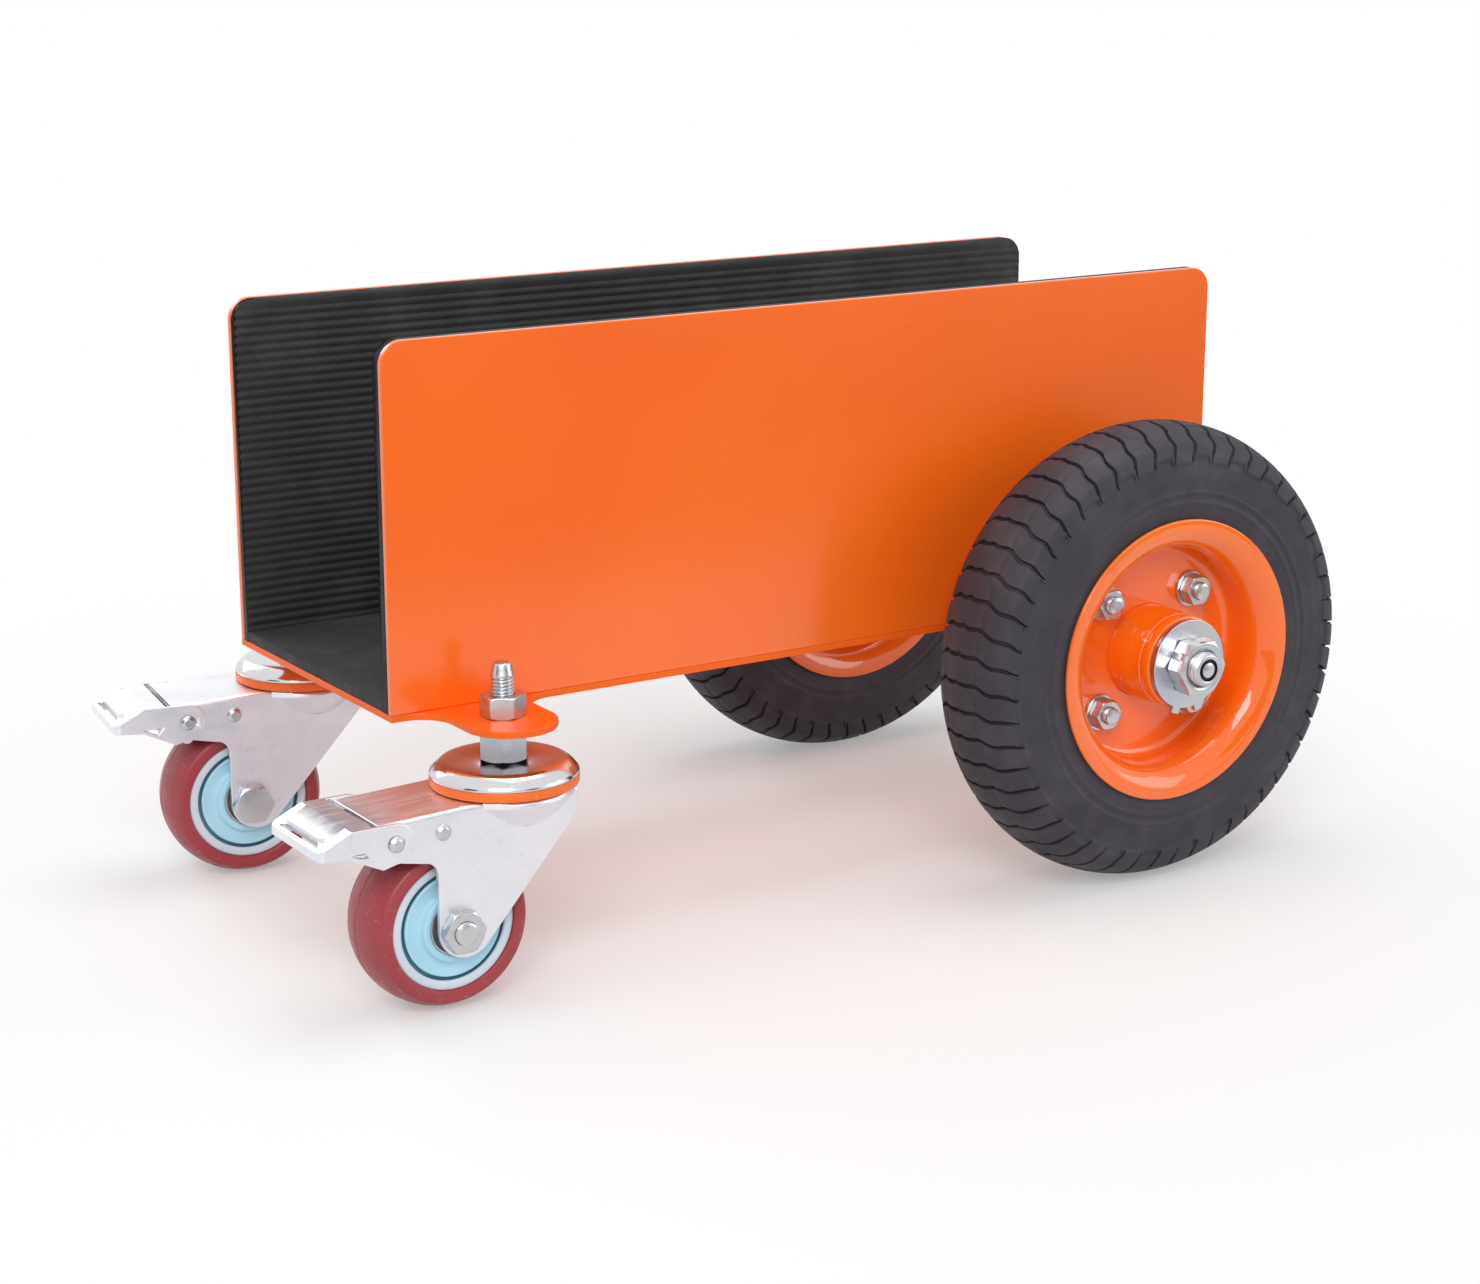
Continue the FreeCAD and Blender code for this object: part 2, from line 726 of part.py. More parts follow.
def rim_half_dish(name, sign):
    """One pressed rim half: a disc at the wheel's middle, a wall and a flange. Sign -1 is outwards."""
    bend = "rim_disc_bend"
    inside, outside = ("left", "right") if sign < 0 else ("right", "left")

    def at(along, radius, *arc):
        return (f"{sign} * ({along})", radius, *arc)

    return turned(name, "YZ_Plane", [
        at(0, "hub_radius"),
        at(0, f"rim_seat - {bend}"),
        at(bend, "rim_seat", bend, inside),
        at("rim_bend_start", "rim_seat"),
        at("rim_half - rim_sheet", "rim_seat + rim_flange_bend", "rim_flange_bend", outside),
        at("rim_half - rim_sheet", "rim_flange"),
        at("rim_half", "rim_flange"),
        at("rim_half", "rim_seat + rim_flange_bend"),
        at("rim_bend_start", "rim_seat - rim_sheet", "rim_flange_bend + rim_sheet", inside),
        at(bend, "rim_seat - rim_sheet"),
        at("rim_sheet", f"rim_seat - {bend}", f"{bend} - rim_sheet", outside),
        at("rim_sheet", "hub_radius"),
    ])


def rim_half_piece(side, name, sign):
    body = rim_half_dish(f"{side}_{name}_body", sign)
    spots = []
    reach, bore = "rim_bolt_reach", "rim_bolt_diameter + 2 * shaft_fit"
    for angle in RIM_BOLT_ANGLES:
        spots.append((f"{reach} * cos({angle})", f"{reach} * sin({angle})", bore))
    return drill(body, "XZ_Plane", spots)


def hub(side):
    """A tube with a bearing seat in each end and a shoulder between them."""
    end, seat, shoulder = "hub_end", "bearing_radius", "bearing_radius - bearing_shoulder"
    face = "bearing_inner_face"
    return turned(f"{side}_hub_body", "YZ_Plane", [
        (f"-{end}", seat),
        (f"-{face}", seat),
        (f"-{face}", shoulder),
        (face, shoulder),
        (face, seat),
        (end, seat),
        (end, "hub_radius"),
        (f"-{end}", "hub_radius"),
    ])


def bearing_outer_ring(name, start, end):
    """An outer ring with a thin shield on each face; the balls run between the shields."""
    lip = "race_inner + bearing_shield_gap"
    return turned(name, "YZ_Plane", [
        (start, lip),
        (f"{start} + bearing_shield", lip),
        (f"{start} + bearing_shield", "race_outer"),
        (f"{end} - bearing_shield", "race_outer"),
        (f"{end} - bearing_shield", lip),
        (end, lip),
        (end, "bearing_radius"),
        (start, "bearing_radius"),
    ])


def bearing_balls(side, sign):
    balls = []
    pitch = "(race_inner + race_outer) / 2"
    for end in (-1, 1):
        for number in range(BALLS_PER_BEARING):
            angle = 360 / BALLS_PER_BEARING * number
            ball = doc.addObject("Part::Sphere", f"{side}_ball")
            bind(ball, "Radius", "bearing_ball")
            x, y, z = wheel_spot(sign)
            spot = (
                f"{x} + {pitch} * cos({angle})",
                f"{y} + {end} * (hub_end - bearing_width / 2)",
                f"{z} + {pitch} * sin({angle})",
            )
            balls.append(place(ball, spot))
    return balls


def rim_fastener_spots(sign):
    x, y, z = wheel_spot(sign)
    reach = "rim_bolt_reach"
    return [
        (f"{x} + {reach} * cos({angle})", y, f"{z} + {reach} * sin({angle})")
        for angle in RIM_BOLT_ANGLES
    ]


def rim_bolt(name):
    """A hex bolt with its head on the inner half and its end through the outer nut."""
    length = "rim_sheet + rim_washer_thickness + rim_nut_height + rim_bolt_end"
    head = hex_piece(name + "_head", "Y", "rim_nut_flats", "rim_head_height")
    bind(head, "Placement.Base.y", "rim_sheet + rim_head_height / 2")
    shank = collar(name + "_shank", f"-({length})", "rim_sheet", 0, "rim_bolt_diameter / 2")
    return fused(name, [head, shank])


def build_wheel(side, sign, tyre):
    turn = outward_turn(sign)

    def mounted(label, body):
        node(f"{side}_{label}", place(body, wheel_spot(sign), turn))

    mounted("tyre", group(f"{side}_tyre_copy", [tyre]))
    mounted("rim_outer_half", rim_half_piece(side, "rim_outer", -1))
    mounted("rim_inner_half", rim_half_piece(side, "rim_inner", 1))
    mounted("hub", hub(side))
    rings = [
        bearing_outer_ring(f"{side}_outer_ring_out", "-hub_end", "-bearing_inner_face"),
        bearing_outer_ring(f"{side}_outer_ring_in", "bearing_inner_face", "hub_end"),
    ]
    rings = [place(ring, wheel_spot(sign), turn) for ring in rings]
    node(f"{side}_bearing_outer_rings", group(f"{side}_rings", rings))
    node(f"{side}_bearing_balls", group(f"{side}_balls", bearing_balls(side, sign)))
    bolts, washers, nuts = [], [], []
    bore = "rim_bolt_diameter / 2 + shaft_fit"
    washer_top = "rim_sheet + rim_washer_thickness"
    nut_middle = f"{washer_top} + rim_nut_height / 2"
    for number, spot in enumerate(rim_fastener_spots(sign)):
        name = f"{side}_rim_{number}"
        ring = collar(name + "_washer", f"-({washer_top})", "-rim_sheet", bore, "rim_washer_diameter / 2")
        nut = hex_piece(name + "_nut", "Y", "rim_nut_flats", "rim_nut_height", f"2 * ({bore})")
        bolts.append(place(rim_bolt(name + "_bolt"), spot, turn))
        washers.append(place(ring, spot, turn))
        nuts.append(place(nut, spot, turn, side=f"-({nut_middle})"))
    node(f"{side}_rim_bolts", group(f"{side}_bolts", bolts))
    node(f"{side}_rim_washers", group(f"{side}_bolt_washers", washers))
    node(f"{side}_rim_nuts", group(f"{side}_bolt_nuts", nuts))


# Casters. Each is drawn round its stem, with the wheel trailing towards -X.


def caster_stem(side):
    """Threaded stem, hex shoulder under the lug, and the riveted kingpin end inside the fork."""
    radius, head = "stem_diameter / 2", "kingpin_head_diameter / 2"
    foot = "kingpin_seat - kingpin_head_height"
    pin = turned(f"{side}_stem_pin", "XZ_Plane", [
        (0, foot),
        (head, foot),
        (head, "kingpin_seat"),
        (radius, "kingpin_seat"),
        (radius, "stem_end - stem_taper"),
        ("stem_tip_diameter / 2", "stem_end"),
        (0, "stem_end"),
    ])
    shoulder = hex_piece(f"{side}_stem_shoulder", "Z", "stem_hex_flats", "base_bottom - cap_top")
    bind(shoulder, "Placement.Base.z", "(base_bottom + cap_top) / 2")
    return fused(f"{side}_stem_body", [pin, shoulder])


def swivel_cap(side):
    """The domed cap on the stem, with the race for the swivel balls under it."""
    bore = "stem_diameter / 2 + shaft_fit"
    return turned(f"{side}_cap_body", "XZ_Plane", [
        (bore, "race_roof"),
        ("ring_bore", "race_roof"),
        ("ring_bore", "ring_top"),
        ("swivel_radius", "ring_top"),
        ("swivel_radius", "ring_top + cap_rim_height"),
        ("cap_flat_diameter / 2", "cap_top", "cap_dome_radius", "left"),
        (bore, "cap_top"),
    ])


def swivel_balls(side, spot, swing):
    balls = []
    x, y, _ = spot
    height = "fork_top + bearing_play + swivel_ball_diameter / 2"
    for number in range(BALLS_PER_SWIVEL):
        ball = doc.addObject("Part::Sphere", f"{side}_swivel_ball")
        bind(ball, "Radius", "swivel_ball_diameter / 2")
        angle = f"{swing} + {360 / BALLS_PER_SWIVEL * number}"
        balls.append(place(ball, (x, y, height), angle, reach="swivel_ball_reach"))
    return balls


def cross_hole(name, x, z, radius):
    """A long pin across the fork, to cut a hole through both legs."""
    pin = collar(name, "-cheek_outer - cut_room", "cheek_outer + cut_room", 0, radius)
    bind(pin, "Placement.Base.x", x)
    bind(pin, "Placement.Base.z", z)
    return pin


def fork(side):
    """A pressed fork: two legs under a top plate, with a tapering turret under the swivel."""
    shell = plate(f"{side}_fork_outside", "XZ_Plane", [
        ("-arm_reach", "arm_top"),
        ("-arm_reach", "arm_top - arm_depth"),
        ("leg_rear - shoulder_radius", "fork_top - shoulder_depth"),
        ("leg_rear", "fork_top - shoulder_depth - shoulder_radius", "shoulder_radius", "right"),
        ("leg_rear", "caster_radius"),
        ("leg_x", "caster_radius - leg_end_radius", "leg_end_radius", "left"),
        ("leg_turn_x", "leg_turn_z", "leg_end_radius", "left"),
        ("front_x", "front_z"),
        ("front_x", "fork_top"),
        ("-swivel_radius", "fork_top"),
    ], "2 * leg_outer")
    hollow = plate(f"{side}_fork_inside", "XZ_Plane", [
        ("-arm_reach - cut_room", "arm_top - fork_sheet"),
        ("-arm_reach - cut_room", 0),
        ("front_x + cut_room", 0),
        ("front_x + cut_room", "fork_under"),
        ("-swivel_radius", "fork_under"),
        ("-arm_reach", "arm_top - fork_sheet"),
    ], "fork_inner_width")
    low = "fork_top - turret_height"
    wide, narrow = "swivel_radius - fork_sheet / 2", "swivel_radius - fork_sheet / 2 - turret_taper"
    turret = turned(f"{side}_fork_turret", "XZ_Plane", [
        (0, "fork_under"),
        (f"{wide} - fork_sheet", "fork_under"),
        (f"{narrow} - fork_sheet", low),
        (narrow, low),
        (wide, "fork_under"),
        (wide, "fork_top"),
        (0, "fork_top"),
    ])
    gap = plate(f"{side}_turret_gap", "XZ_Plane", [
        ("-swivel_radius - cut_room", 0),
        ("-turret_gap_setback", 0),
        ("-turret_gap_setback", "fork_under"),
        ("-swivel_radius - cut_room", "fork_under"),
    ], "fork_inner_width")
    legs = cut(f"{side}_fork_legs", shell, [hollow])
    skirt = cut(f"{side}_fork_skirt", turret, [gap])
    axle_bore = "caster_axle_diameter / 2 + shaft_fit"
    king_hole = washer(f"{side}_king_hole", 0, "fork_top + cut_room", 0, "stem_diameter / 2 + shaft_fit")
    holes = [
        king_hole,
        cross_hole(f"{side}_axle_hole", "-caster_trail", "caster_radius", axle_bore),
        cross_hole(f"{side}_pivot_hole", "pivot_x", "pivot_z", "pivot_diameter / 2 + shaft_fit"),
        cross_hole(f"{side}_rivet_hole", "rivet_x", "rivet_z", "fork_rivet_diameter / 2 + shaft_fit"),
    ]
    return cut(f"{side}_fork_body", fused(f"{side}_fork_whole", [legs, skirt]), holes)


def rivet(name, radius, face):
    """A headed pin across the fork, with its heads outside face."""
    head, crown = "rivet_head_diameter / 2", "rivet_crown_diameter / 2"
    tip = f"{face} + rivet_head_height"
    return turned(name, "YZ_Plane", [
        (f"-({tip})", 0),
        (tip, 0),
        (tip, crown),
        (face, head),
        (face, radius),
        (f"-({face})", radius),
        (f"-({face})", head),
        (f"-({tip})", crown),
    ])


def fork_rivets(side, spot, swing):
    """The brake pedal's pivot and the smaller rivet that ties the legs."""
    x, y, _ = spot
    pivot = rivet(f"{side}_pivot", "pivot_diameter / 2", "cheek_outer + pedal_side_gap")
    tie = rivet(f"{side}_tie_rivet", "fork_rivet_diameter / 2", "leg_outer")
    return [
        place(pivot, (x, y, "pivot_z"), swing, reach="pivot_x"),
        place(tie, (x, y, "rivet_z"), swing, reach="rivet_x"),
    ]


def pedal_side_path():
    """The pedal's side: an eye at the pivot, a heel, a bend, and a front wall."""
    eye = "pedal_eye_radius"
    return [
        ("pedal_top_x", "pedal_top_z"),
        ("-pedal_reach", "pedal_tip_z"),
        ("-pedal_reach", "pedal_tip_z - pedal_tip_depth"),
        ("pivot_x - pedal_bend_setback", "fork_top - pedal_bend_drop"),
        ("pivot_x - pedal_heel_setback", "fork_top - pedal_heel_drop"),
        ("pivot_x", f"pivot_z - {eye}"),
        (f"pivot_x + {eye}", "pivot_z", eye, "left"),
        ("pivot_x", "pedal_top_z", eye, "left"),
    ]


def pedal_cam(side):
    """A barrel on the pivot with a nose that turns towards the tread."""
    barrel, nose = "cam_barrel_radius", "cam_nose_radius"
    drop = f"-(cam_reach - {nose})"
    cam = plate(f"{side}_cam", "XZ_Plane", [
        (f"-{nose}", drop),
        (0, "-cam_reach", nose, "left"),
        (nose, drop, nose, "left"),
        (barrel, 0),
        (0, barrel, barrel, "left"),
        (f"-{barrel}", 0, barrel, "left"),
    ], "cam_width")
    turnable(cam, V(0, 1, 0))
    bind(cam, "Placement.Base.x", "pivot_x")
    bind(cam, "Placement.Base.z", "pivot_z")
    bind(cam, "Placement.Rotation.Angle", "-cam_rest_angle")
    return cam


def brake_pedal(side):
    """A pressed pedal: two cheeks outside the fork's arms, a top, and a flap behind a slot."""
    solid = plate(f"{side}_pedal_outside", "XZ_Plane", pedal_side_path(), "2 * cheek_outer")
    mouth, eye_end = "pivot_x - arm_end - pedal_arm_gap", "pivot_x + cut_room"
    under = "pedal_top_z - pedal_sheet"
    fork_room = plate(f"{side}_pedal_mouth", "XZ_Plane", [
        (mouth, 0),
        (eye_end, 0),
        (eye_end, "fork_top + cut_room"),
        (mouth, "fork_top + cut_room"),
    ], "2 * cheek_inner")
    hollow = plate(f"{side}_pedal_inside", "XZ_Plane", [
        (mouth, 0),
        (mouth, under),
        ("pedal_top_x", under),
        ("pedal_wall_x", "pedal_tip_z - pedal_sheet"),
        ("pedal_wall_x", 0),
    ], "2 * cheek_inner")
    cheeks = cut(f"{side}_pedal_shell", solid, [fork_room, hollow])
    link = plate(f"{side}_pedal_link", "XZ_Plane", [
        ("pivot_x", "pivot_z - cam_nose_radius"),
        ("pivot_x", "pivot_z + cam_nose_radius"),
        (mouth, "pivot_z + cam_nose_radius"),
        (mouth, under),
        (f"{mouth} - pedal_sheet", "pedal_top_z"),
        (f"{mouth} - pedal_sheet", "pivot_z - cam_nose_radius"),
    ], "cam_width")
    flap = plate(f"{side}_pedal_flap", "XZ_Plane", [
        ("pedal_top_x", "pedal_top_z"),
        ("pedal_flap_x", "pedal_top_z"),
        ("pedal_flap_x", "pedal_tip_z - pedal_sheet / 2"),
        ("pedal_top_x", "pedal_top_z - pedal_sheet / 2"),
    ], "pedal_flap_width")
    slot = plate(f"{side}_pedal_slot", "XZ_Plane", [
        ("pedal_wall_x", "pedal_tip_z - pedal_tip_depth"),
        ("pedal_flap_x", "pedal_tip_z - pedal_tip_depth"),
        ("pedal_flap_x", "fork_top + cut_room"),
        ("pedal_wall_x", "fork_top + cut_room"),
    ], "pedal_flap_width")
    whole = fused(f"{side}_pedal_whole", [cheeks, pedal_cam(side), link, flap])
    hole_x, hole_z = "pivot_x - clip_hole_setback", "fork_top - clip_hole_drop"
    clip_hole = plate(f"{side}_clip_hole", "XZ_Plane", [
        (f"{hole_x} - clip_hole_size", hole_z),
        (f"{hole_x} + clip_hole_size", f"{hole_z} - clip_hole_size"),
        (f"{hole_x} + clip_hole_size", hole_z),
    ], "2 * cheek_outer + cut_room")
    pin_hole = cross_hole(f"{side}_pin_hole", "pivot_x", "pivot_z", "pivot_diameter / 2 + shaft_fit")
    return cut(f"{side}_pedal_body", whole, [pin_hole, clip_hole, slot])


def caster_tread(side):
    half, core = "caster_tread_width / 2", "caster_core_diameter / 2"
    edge = f"caster_radius - caster_crown_radius + sqrt(caster_crown_radius ^ 2 - ({half}) ^ 2)"
    return turned(f"{side}_tread_body", "YZ_Plane", [
        (f"-{half}", core),
        (half, core),
        (half, edge),
        (0, "caster_radius", "caster_crown_radius", "left"),
        (f"-{half}", edge, "caster_crown_radius", "left"),
    ])


def caster_core(side):
    """The wheel's core: a web with a round groove in each face, and a hub with two bearing seats."""
    end, seat = "caster_core_width / 2", "caster_bearing_diameter / 2"
    depth = f"{end} - caster_bearing_width"
    hub_outer = f"{seat} + caster_hub_wall"
    face, bottom = "caster_core_web / 2", "caster_core_web / 2 - caster_groove_depth"
    low = "(caster_groove_diameter - caster_groove_width) / 2"
    high = "(caster_groove_diameter + caster_groove_width) / 2"
    half = [
        (depth, f"{seat} - caster_bearing_step"),
        (depth, seat),
        (end, seat),
        (end, hub_outer),
        (face, hub_outer),
        (face, low),
        (bottom, low),
        (bottom, high),
        (face, high),
        (face, "caster_core_diameter / 2"),
    ]
    mirrored = [(f"-({along})", radius) for along, radius in reversed(half)]
    return turned(f"{side}_core_body", "YZ_Plane", half + mirrored)


def caster_bearings(side):
    end, inner = "caster_core_width / 2", "caster_core_width / 2 - caster_bearing_width"
    bore, outer = "caster_axle_diameter / 2 + shaft_fit", "caster_bearing_diameter / 2"
    return [
        collar(f"{side}_caster_bearing_out", f"-({end})", f"-({inner})", bore, outer),
        collar(f"{side}_caster_bearing_in", inner, end, bore, outer),
    ]


def caster_bushes(side):
    """Thin bushes that hold the wheel midway between the legs."""
    face, bore = "caster_core_width / 2 + caster_play", "caster_axle_diameter / 2 + shaft_fit"
    outer = "caster_bush_diameter / 2"
    return [
        collar(f"{side}_bush_out", "-leg_inner", f"-({face})", bore, outer),
        collar(f"{side}_bush_in", face, "leg_inner", bore, outer),
    ]


def caster_bolt(side):
    """The wheel's bolt, with its head on the inner leg and its end through the outer nut."""
    end = "leg_outer + caster_nut_height + caster_axle_end"
    shank = collar(f"{side}_caster_shank", f"-({end})", "leg_outer", 0, "caster_axle_diameter / 2")
    head = hex_piece(f"{side}_caster_head", "Y", "caster_nut_flats", "caster_nut_height")
    bind(head, "Placement.Base.y", "leg_outer + caster_nut_height / 2")
    return fused(f"{side}_caster_bolt_body", [shank, head])


def build_caster(side, sign):
    swing = "0" if sign < 0 else "right_caster_swing"
    x, y = "stem_x", f"{sign} * stem_y"
    spot = (x, y, 0)
    wheel_centre = (x, y, "caster_radius")
    trail = "-caster_trail"
    outward = swing if sign < 0 else f"{swing} + 180"
    outward_trail = f"{sign} * caster_trail"

    def on_stem(label, body):
        node(f"{side}_{label}", place(body, spot, swing))

    def on_wheel_axle(label, body):
        node(f"{side}_{label}", place(body, wheel_centre, swing, trail))

    on_stem("caster_stem", caster_stem(side))
    on_stem("swivel_cap", swivel_cap(side))
    ring = washer(f"{side}_ring_body", "ring_bottom", "ring_top", "ring_bore", "swivel_radius")
    on_stem("swivel_ring", ring)
    on_stem("caster_fork", fork(side))
    on_stem("brake_pedal", brake_pedal(side))
    node(f"{side}_swivel_balls", group(f"{side}_swivel_set", swivel_balls(side, spot, swing)))
    node(f"{side}_fork_rivets", group(f"{side}_rivets", fork_rivets(side, spot, swing)))
    on_wheel_axle("caster_tread", caster_tread(side))
    on_wheel_axle("caster_core", caster_core(side))
    for label, pieces in (("caster_bearings", caster_bearings(side)), ("caster_bushes", caster_bushes(side))):
        placed = [place(piece, wheel_centre, swing, trail) for piece in pieces]
        node(f"{side}_{label}", group(f"{side}_{label}_set", placed))
    node(f"{side}_caster_bolt", place(caster_bolt(side), wheel_centre, outward, outward_trail))
    bore = "caster_axle_diameter + 2 * shaft_fit"
    nut = hex_piece(f"{side}_caster_nut_body", "Y", "caster_nut_flats", "caster_nut_height", bore)
    nut_side = "-leg_outer - caster_nut_height / 2"
    node(f"{side}_caster_nut", place(nut, wheel_centre, outward, outward_trail, nut_side))


def build_stem_fasteners():
    """The nuts on the lugs, and the washers that hold the forks up on their kingpins."""
    nuts, washers = [], []
    bore = "stem_diameter / 2 + shaft_fit"
    for side, sign in SIDES:
        x, y = "stem_x", f"{sign} * stem_y"
        nut = hex_piece(f"{side}_stem_nut", "Z", "stem_nut_flats", "stem_nut_height", f"2 * ({bore})")
        nuts.append(place(nut, (x, y, "base_top + stem_nut_height / 2"), "stem_nut_turn"))
        top = "kingpin_seat + kingpin_washer_thickness"
        ring = washer(f"{side}_king_washer", "kingpin_seat", top, bore, "kingpin_washer_diameter / 2")
        washers.append(place(ring, (x, y, 0)))
    node("stem_nuts", group("stem_nut_pair", nuts))
    node("kingpin_washers", group("king_washer_pair", washers))


def check_document():
    """Stop if any object failed, a hole cut nothing, or a sub-part is empty or not a valid solid."""
    doc.recompute()
    failed = [obj.Name for obj in doc.Objects if {"Invalid", "Error"} & set(obj.State)]
    for pocket in pockets:
        if pocket.Shape.Volume >= pocket.BaseFeature.Shape.Volume:
            failed.append(pocket.Name)
    for obj in nodes:
        if obj.Shape.isNull() or not obj.Shape.isValid() or not obj.Shape.Solids:
            failed.append(obj.Label)
    labels = [obj.Label for obj in nodes]
    if failed or len(set(labels)) != len(labels):
        raise RuntimeError(f"failed objects: {failed}, labels: {sorted(labels)}")


def write_parts():
    os.makedirs("parts", exist_ok=True)
    for obj in nodes:
        obj.Shape.exportStep(f"parts/{obj.Label}.step")


build_frame()
wheel_tyre = grooved_tyre()
for side in SIDES:
    build_wheel(*side, wheel_tyre)
for side in SIDES:
    build_caster(*side)
build_stem_fasteners()
check_document()
write_parts()
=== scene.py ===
import json
import math

import bmesh
import bpy
from mathutils import Matrix, Vector

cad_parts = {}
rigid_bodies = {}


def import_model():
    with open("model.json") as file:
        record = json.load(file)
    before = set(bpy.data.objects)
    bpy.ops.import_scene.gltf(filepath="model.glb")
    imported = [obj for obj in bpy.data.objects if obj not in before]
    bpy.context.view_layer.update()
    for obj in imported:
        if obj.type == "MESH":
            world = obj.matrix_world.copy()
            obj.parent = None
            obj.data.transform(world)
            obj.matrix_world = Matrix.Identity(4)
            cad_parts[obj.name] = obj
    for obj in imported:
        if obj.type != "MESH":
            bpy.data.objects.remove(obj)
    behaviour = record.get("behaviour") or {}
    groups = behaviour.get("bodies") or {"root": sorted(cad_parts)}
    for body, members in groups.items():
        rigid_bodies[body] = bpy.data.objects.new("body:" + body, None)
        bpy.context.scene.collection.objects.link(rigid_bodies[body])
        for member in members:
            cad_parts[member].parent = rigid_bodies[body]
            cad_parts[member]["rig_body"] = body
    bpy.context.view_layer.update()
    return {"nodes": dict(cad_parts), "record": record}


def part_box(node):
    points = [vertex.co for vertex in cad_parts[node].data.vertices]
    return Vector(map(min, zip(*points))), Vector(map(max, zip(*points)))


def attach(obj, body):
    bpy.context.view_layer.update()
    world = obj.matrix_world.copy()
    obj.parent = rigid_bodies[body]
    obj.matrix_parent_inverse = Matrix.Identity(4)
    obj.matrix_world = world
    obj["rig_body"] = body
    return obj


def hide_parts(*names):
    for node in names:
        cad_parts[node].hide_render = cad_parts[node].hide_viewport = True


# The door dolly's looks: materials, softened sheet metal, moulded tyres,
# threads and rubber liners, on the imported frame. Lengths in the helpers are
# in millimetres and become metres where a mesh is made.

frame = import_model()
NODES = frame["nodes"]
SLOT_OF = {part["node"]: part["material_slot"] for part in frame["record"]["subparts"]}
MM = 0.001
SIDES = ("left", "right")


# Materials


def srgb(red, green, blue):
    """A colour given as 0 to 255 on screen, as the linear colour that a shader takes."""

    def linear(value):
        value /= 255
        return value / 12.92 if value <= 0.04045 else ((value + 0.055) / 1.055) ** 2.4

    return (linear(red), linear(green), linear(blue), 1)


class Finish:
    """A material under construction. Each call adds a node and gives its output."""

    def __init__(self, name):
        self.material = bpy.data.materials.new(name)
        self.material.use_nodes = True
        self.tree = self.material.node_tree
        self.tree.nodes.clear()
        out = self.tree.nodes.new("ShaderNodeOutputMaterial")
        self.shader = self.tree.nodes.new("ShaderNodeBsdfPrincipled")
        self.tree.links.new(self.shader.outputs["BSDF"], out.inputs["Surface"])
        self.place = self.add("TexCoord", {}, "Object")

    def add(self, kind, inputs, output=0, **settings):
        node = self.tree.nodes.new("ShaderNode" + kind)
        for name, setting in settings.items():
            setattr(node, name, setting)
        for name, value in inputs.items():
            self.feed(node.inputs[name], value)
        return node.outputs[output]

    def feed(self, socket, value):
        if isinstance(value, bpy.types.NodeSocket):
            self.tree.links.new(value, socket)
        else:
            socket.default_value = value

    def set(self, **values):
        """Set or link inputs of the shader, with _ for a space."""
        for name, value in values.items():
            self.feed(self.shader.inputs[name.replace("_", " ")], value)

    def noise(self, scale, detail=3, roughness=0.55, stretch=None):
        place = self.place
        if stretch:
            place = self.add("Mapping", {"Vector": place, "Scale": stretch})
        return self.add("TexNoise", {
            "Vector": place,
            "Scale": scale,
            "Detail": detail,
            "Roughness": roughness,
        })

    def span(self, value, low, high, bottom=0, top=1):
        """Map low..high to bottom..top, and hold the ends."""
        return self.add("MapRange", {
            "Value": value,
            "From Min": low,
            "From Max": high,
            "To Min": bottom,
            "To Max": top,
        })

    def mix(self, factor, first, second):
        return self.add("MixRGB", {"Fac": factor, "Color1": first, "Color2": second})

    def times(self, first, second):
        return self.add("Math", {0: first, 1: second}, operation="MULTIPLY")

    def edges(self, width):
        """1 on the object's edges and 0 on its open surfaces."""
        soft = self.add("Bevel", {"Radius": width * MM}, samples=4)
        normal = self.add("NewGeometry", {}, "Normal")
        facing = self.add("VectorMath", {0: soft, 1: normal}, "Value", operation="DOT_PRODUCT")
        return self.span(facing, 0.985, 0.9)

    def bump(self, height, strength, depth, below=None):
        inputs = {"Height": height, "Strength": strength, "Distance": depth * MM}
        if below:
            inputs["Normal"] = below
        return self.add("Bump", inputs)


def painted(name, colour, deep, rough, coat, gloss):
    """Orange paint over steel, with orange peel, faint dust and chips along the edges."""
    finish = Finish(name)
    drift = finish.span(finish.noise(7, 2), 0.35, 0.68)
    paint = finish.mix(drift, colour, deep)
    dust = finish.span(finish.noise(420, 2, 0.6), 0.68, 0.76, 0, 0.1)
    paint = finish.mix(dust, paint, srgb(255, 180, 130))
    chips = finish.span(finish.noise(260, 4, 0.65), 0.57, 0.62)
    worn = finish.times(finish.edges(0.7), chips)
    finish.set(
        Base_Color=finish.mix(worn, paint, srgb(150, 146, 142)),
        Roughness=finish.span(finish.noise(60, 4), 0.3, 0.7, rough - 0.06, rough + 0.08),
        Metallic=finish.times(worn, 0.8),
        Coat_Weight=coat,
        Coat_Roughness=gloss,
        Coat_IOR=1.65,
        Specular_IOR_Level=0.12,
    )
    peel = finish.bump(finish.noise(620, 2, 0.5), 0.16, 0.12)
    finish.set(Normal=finish.bump(finish.noise(90, 2), 0.05, 0.3, peel))
    return finish.material


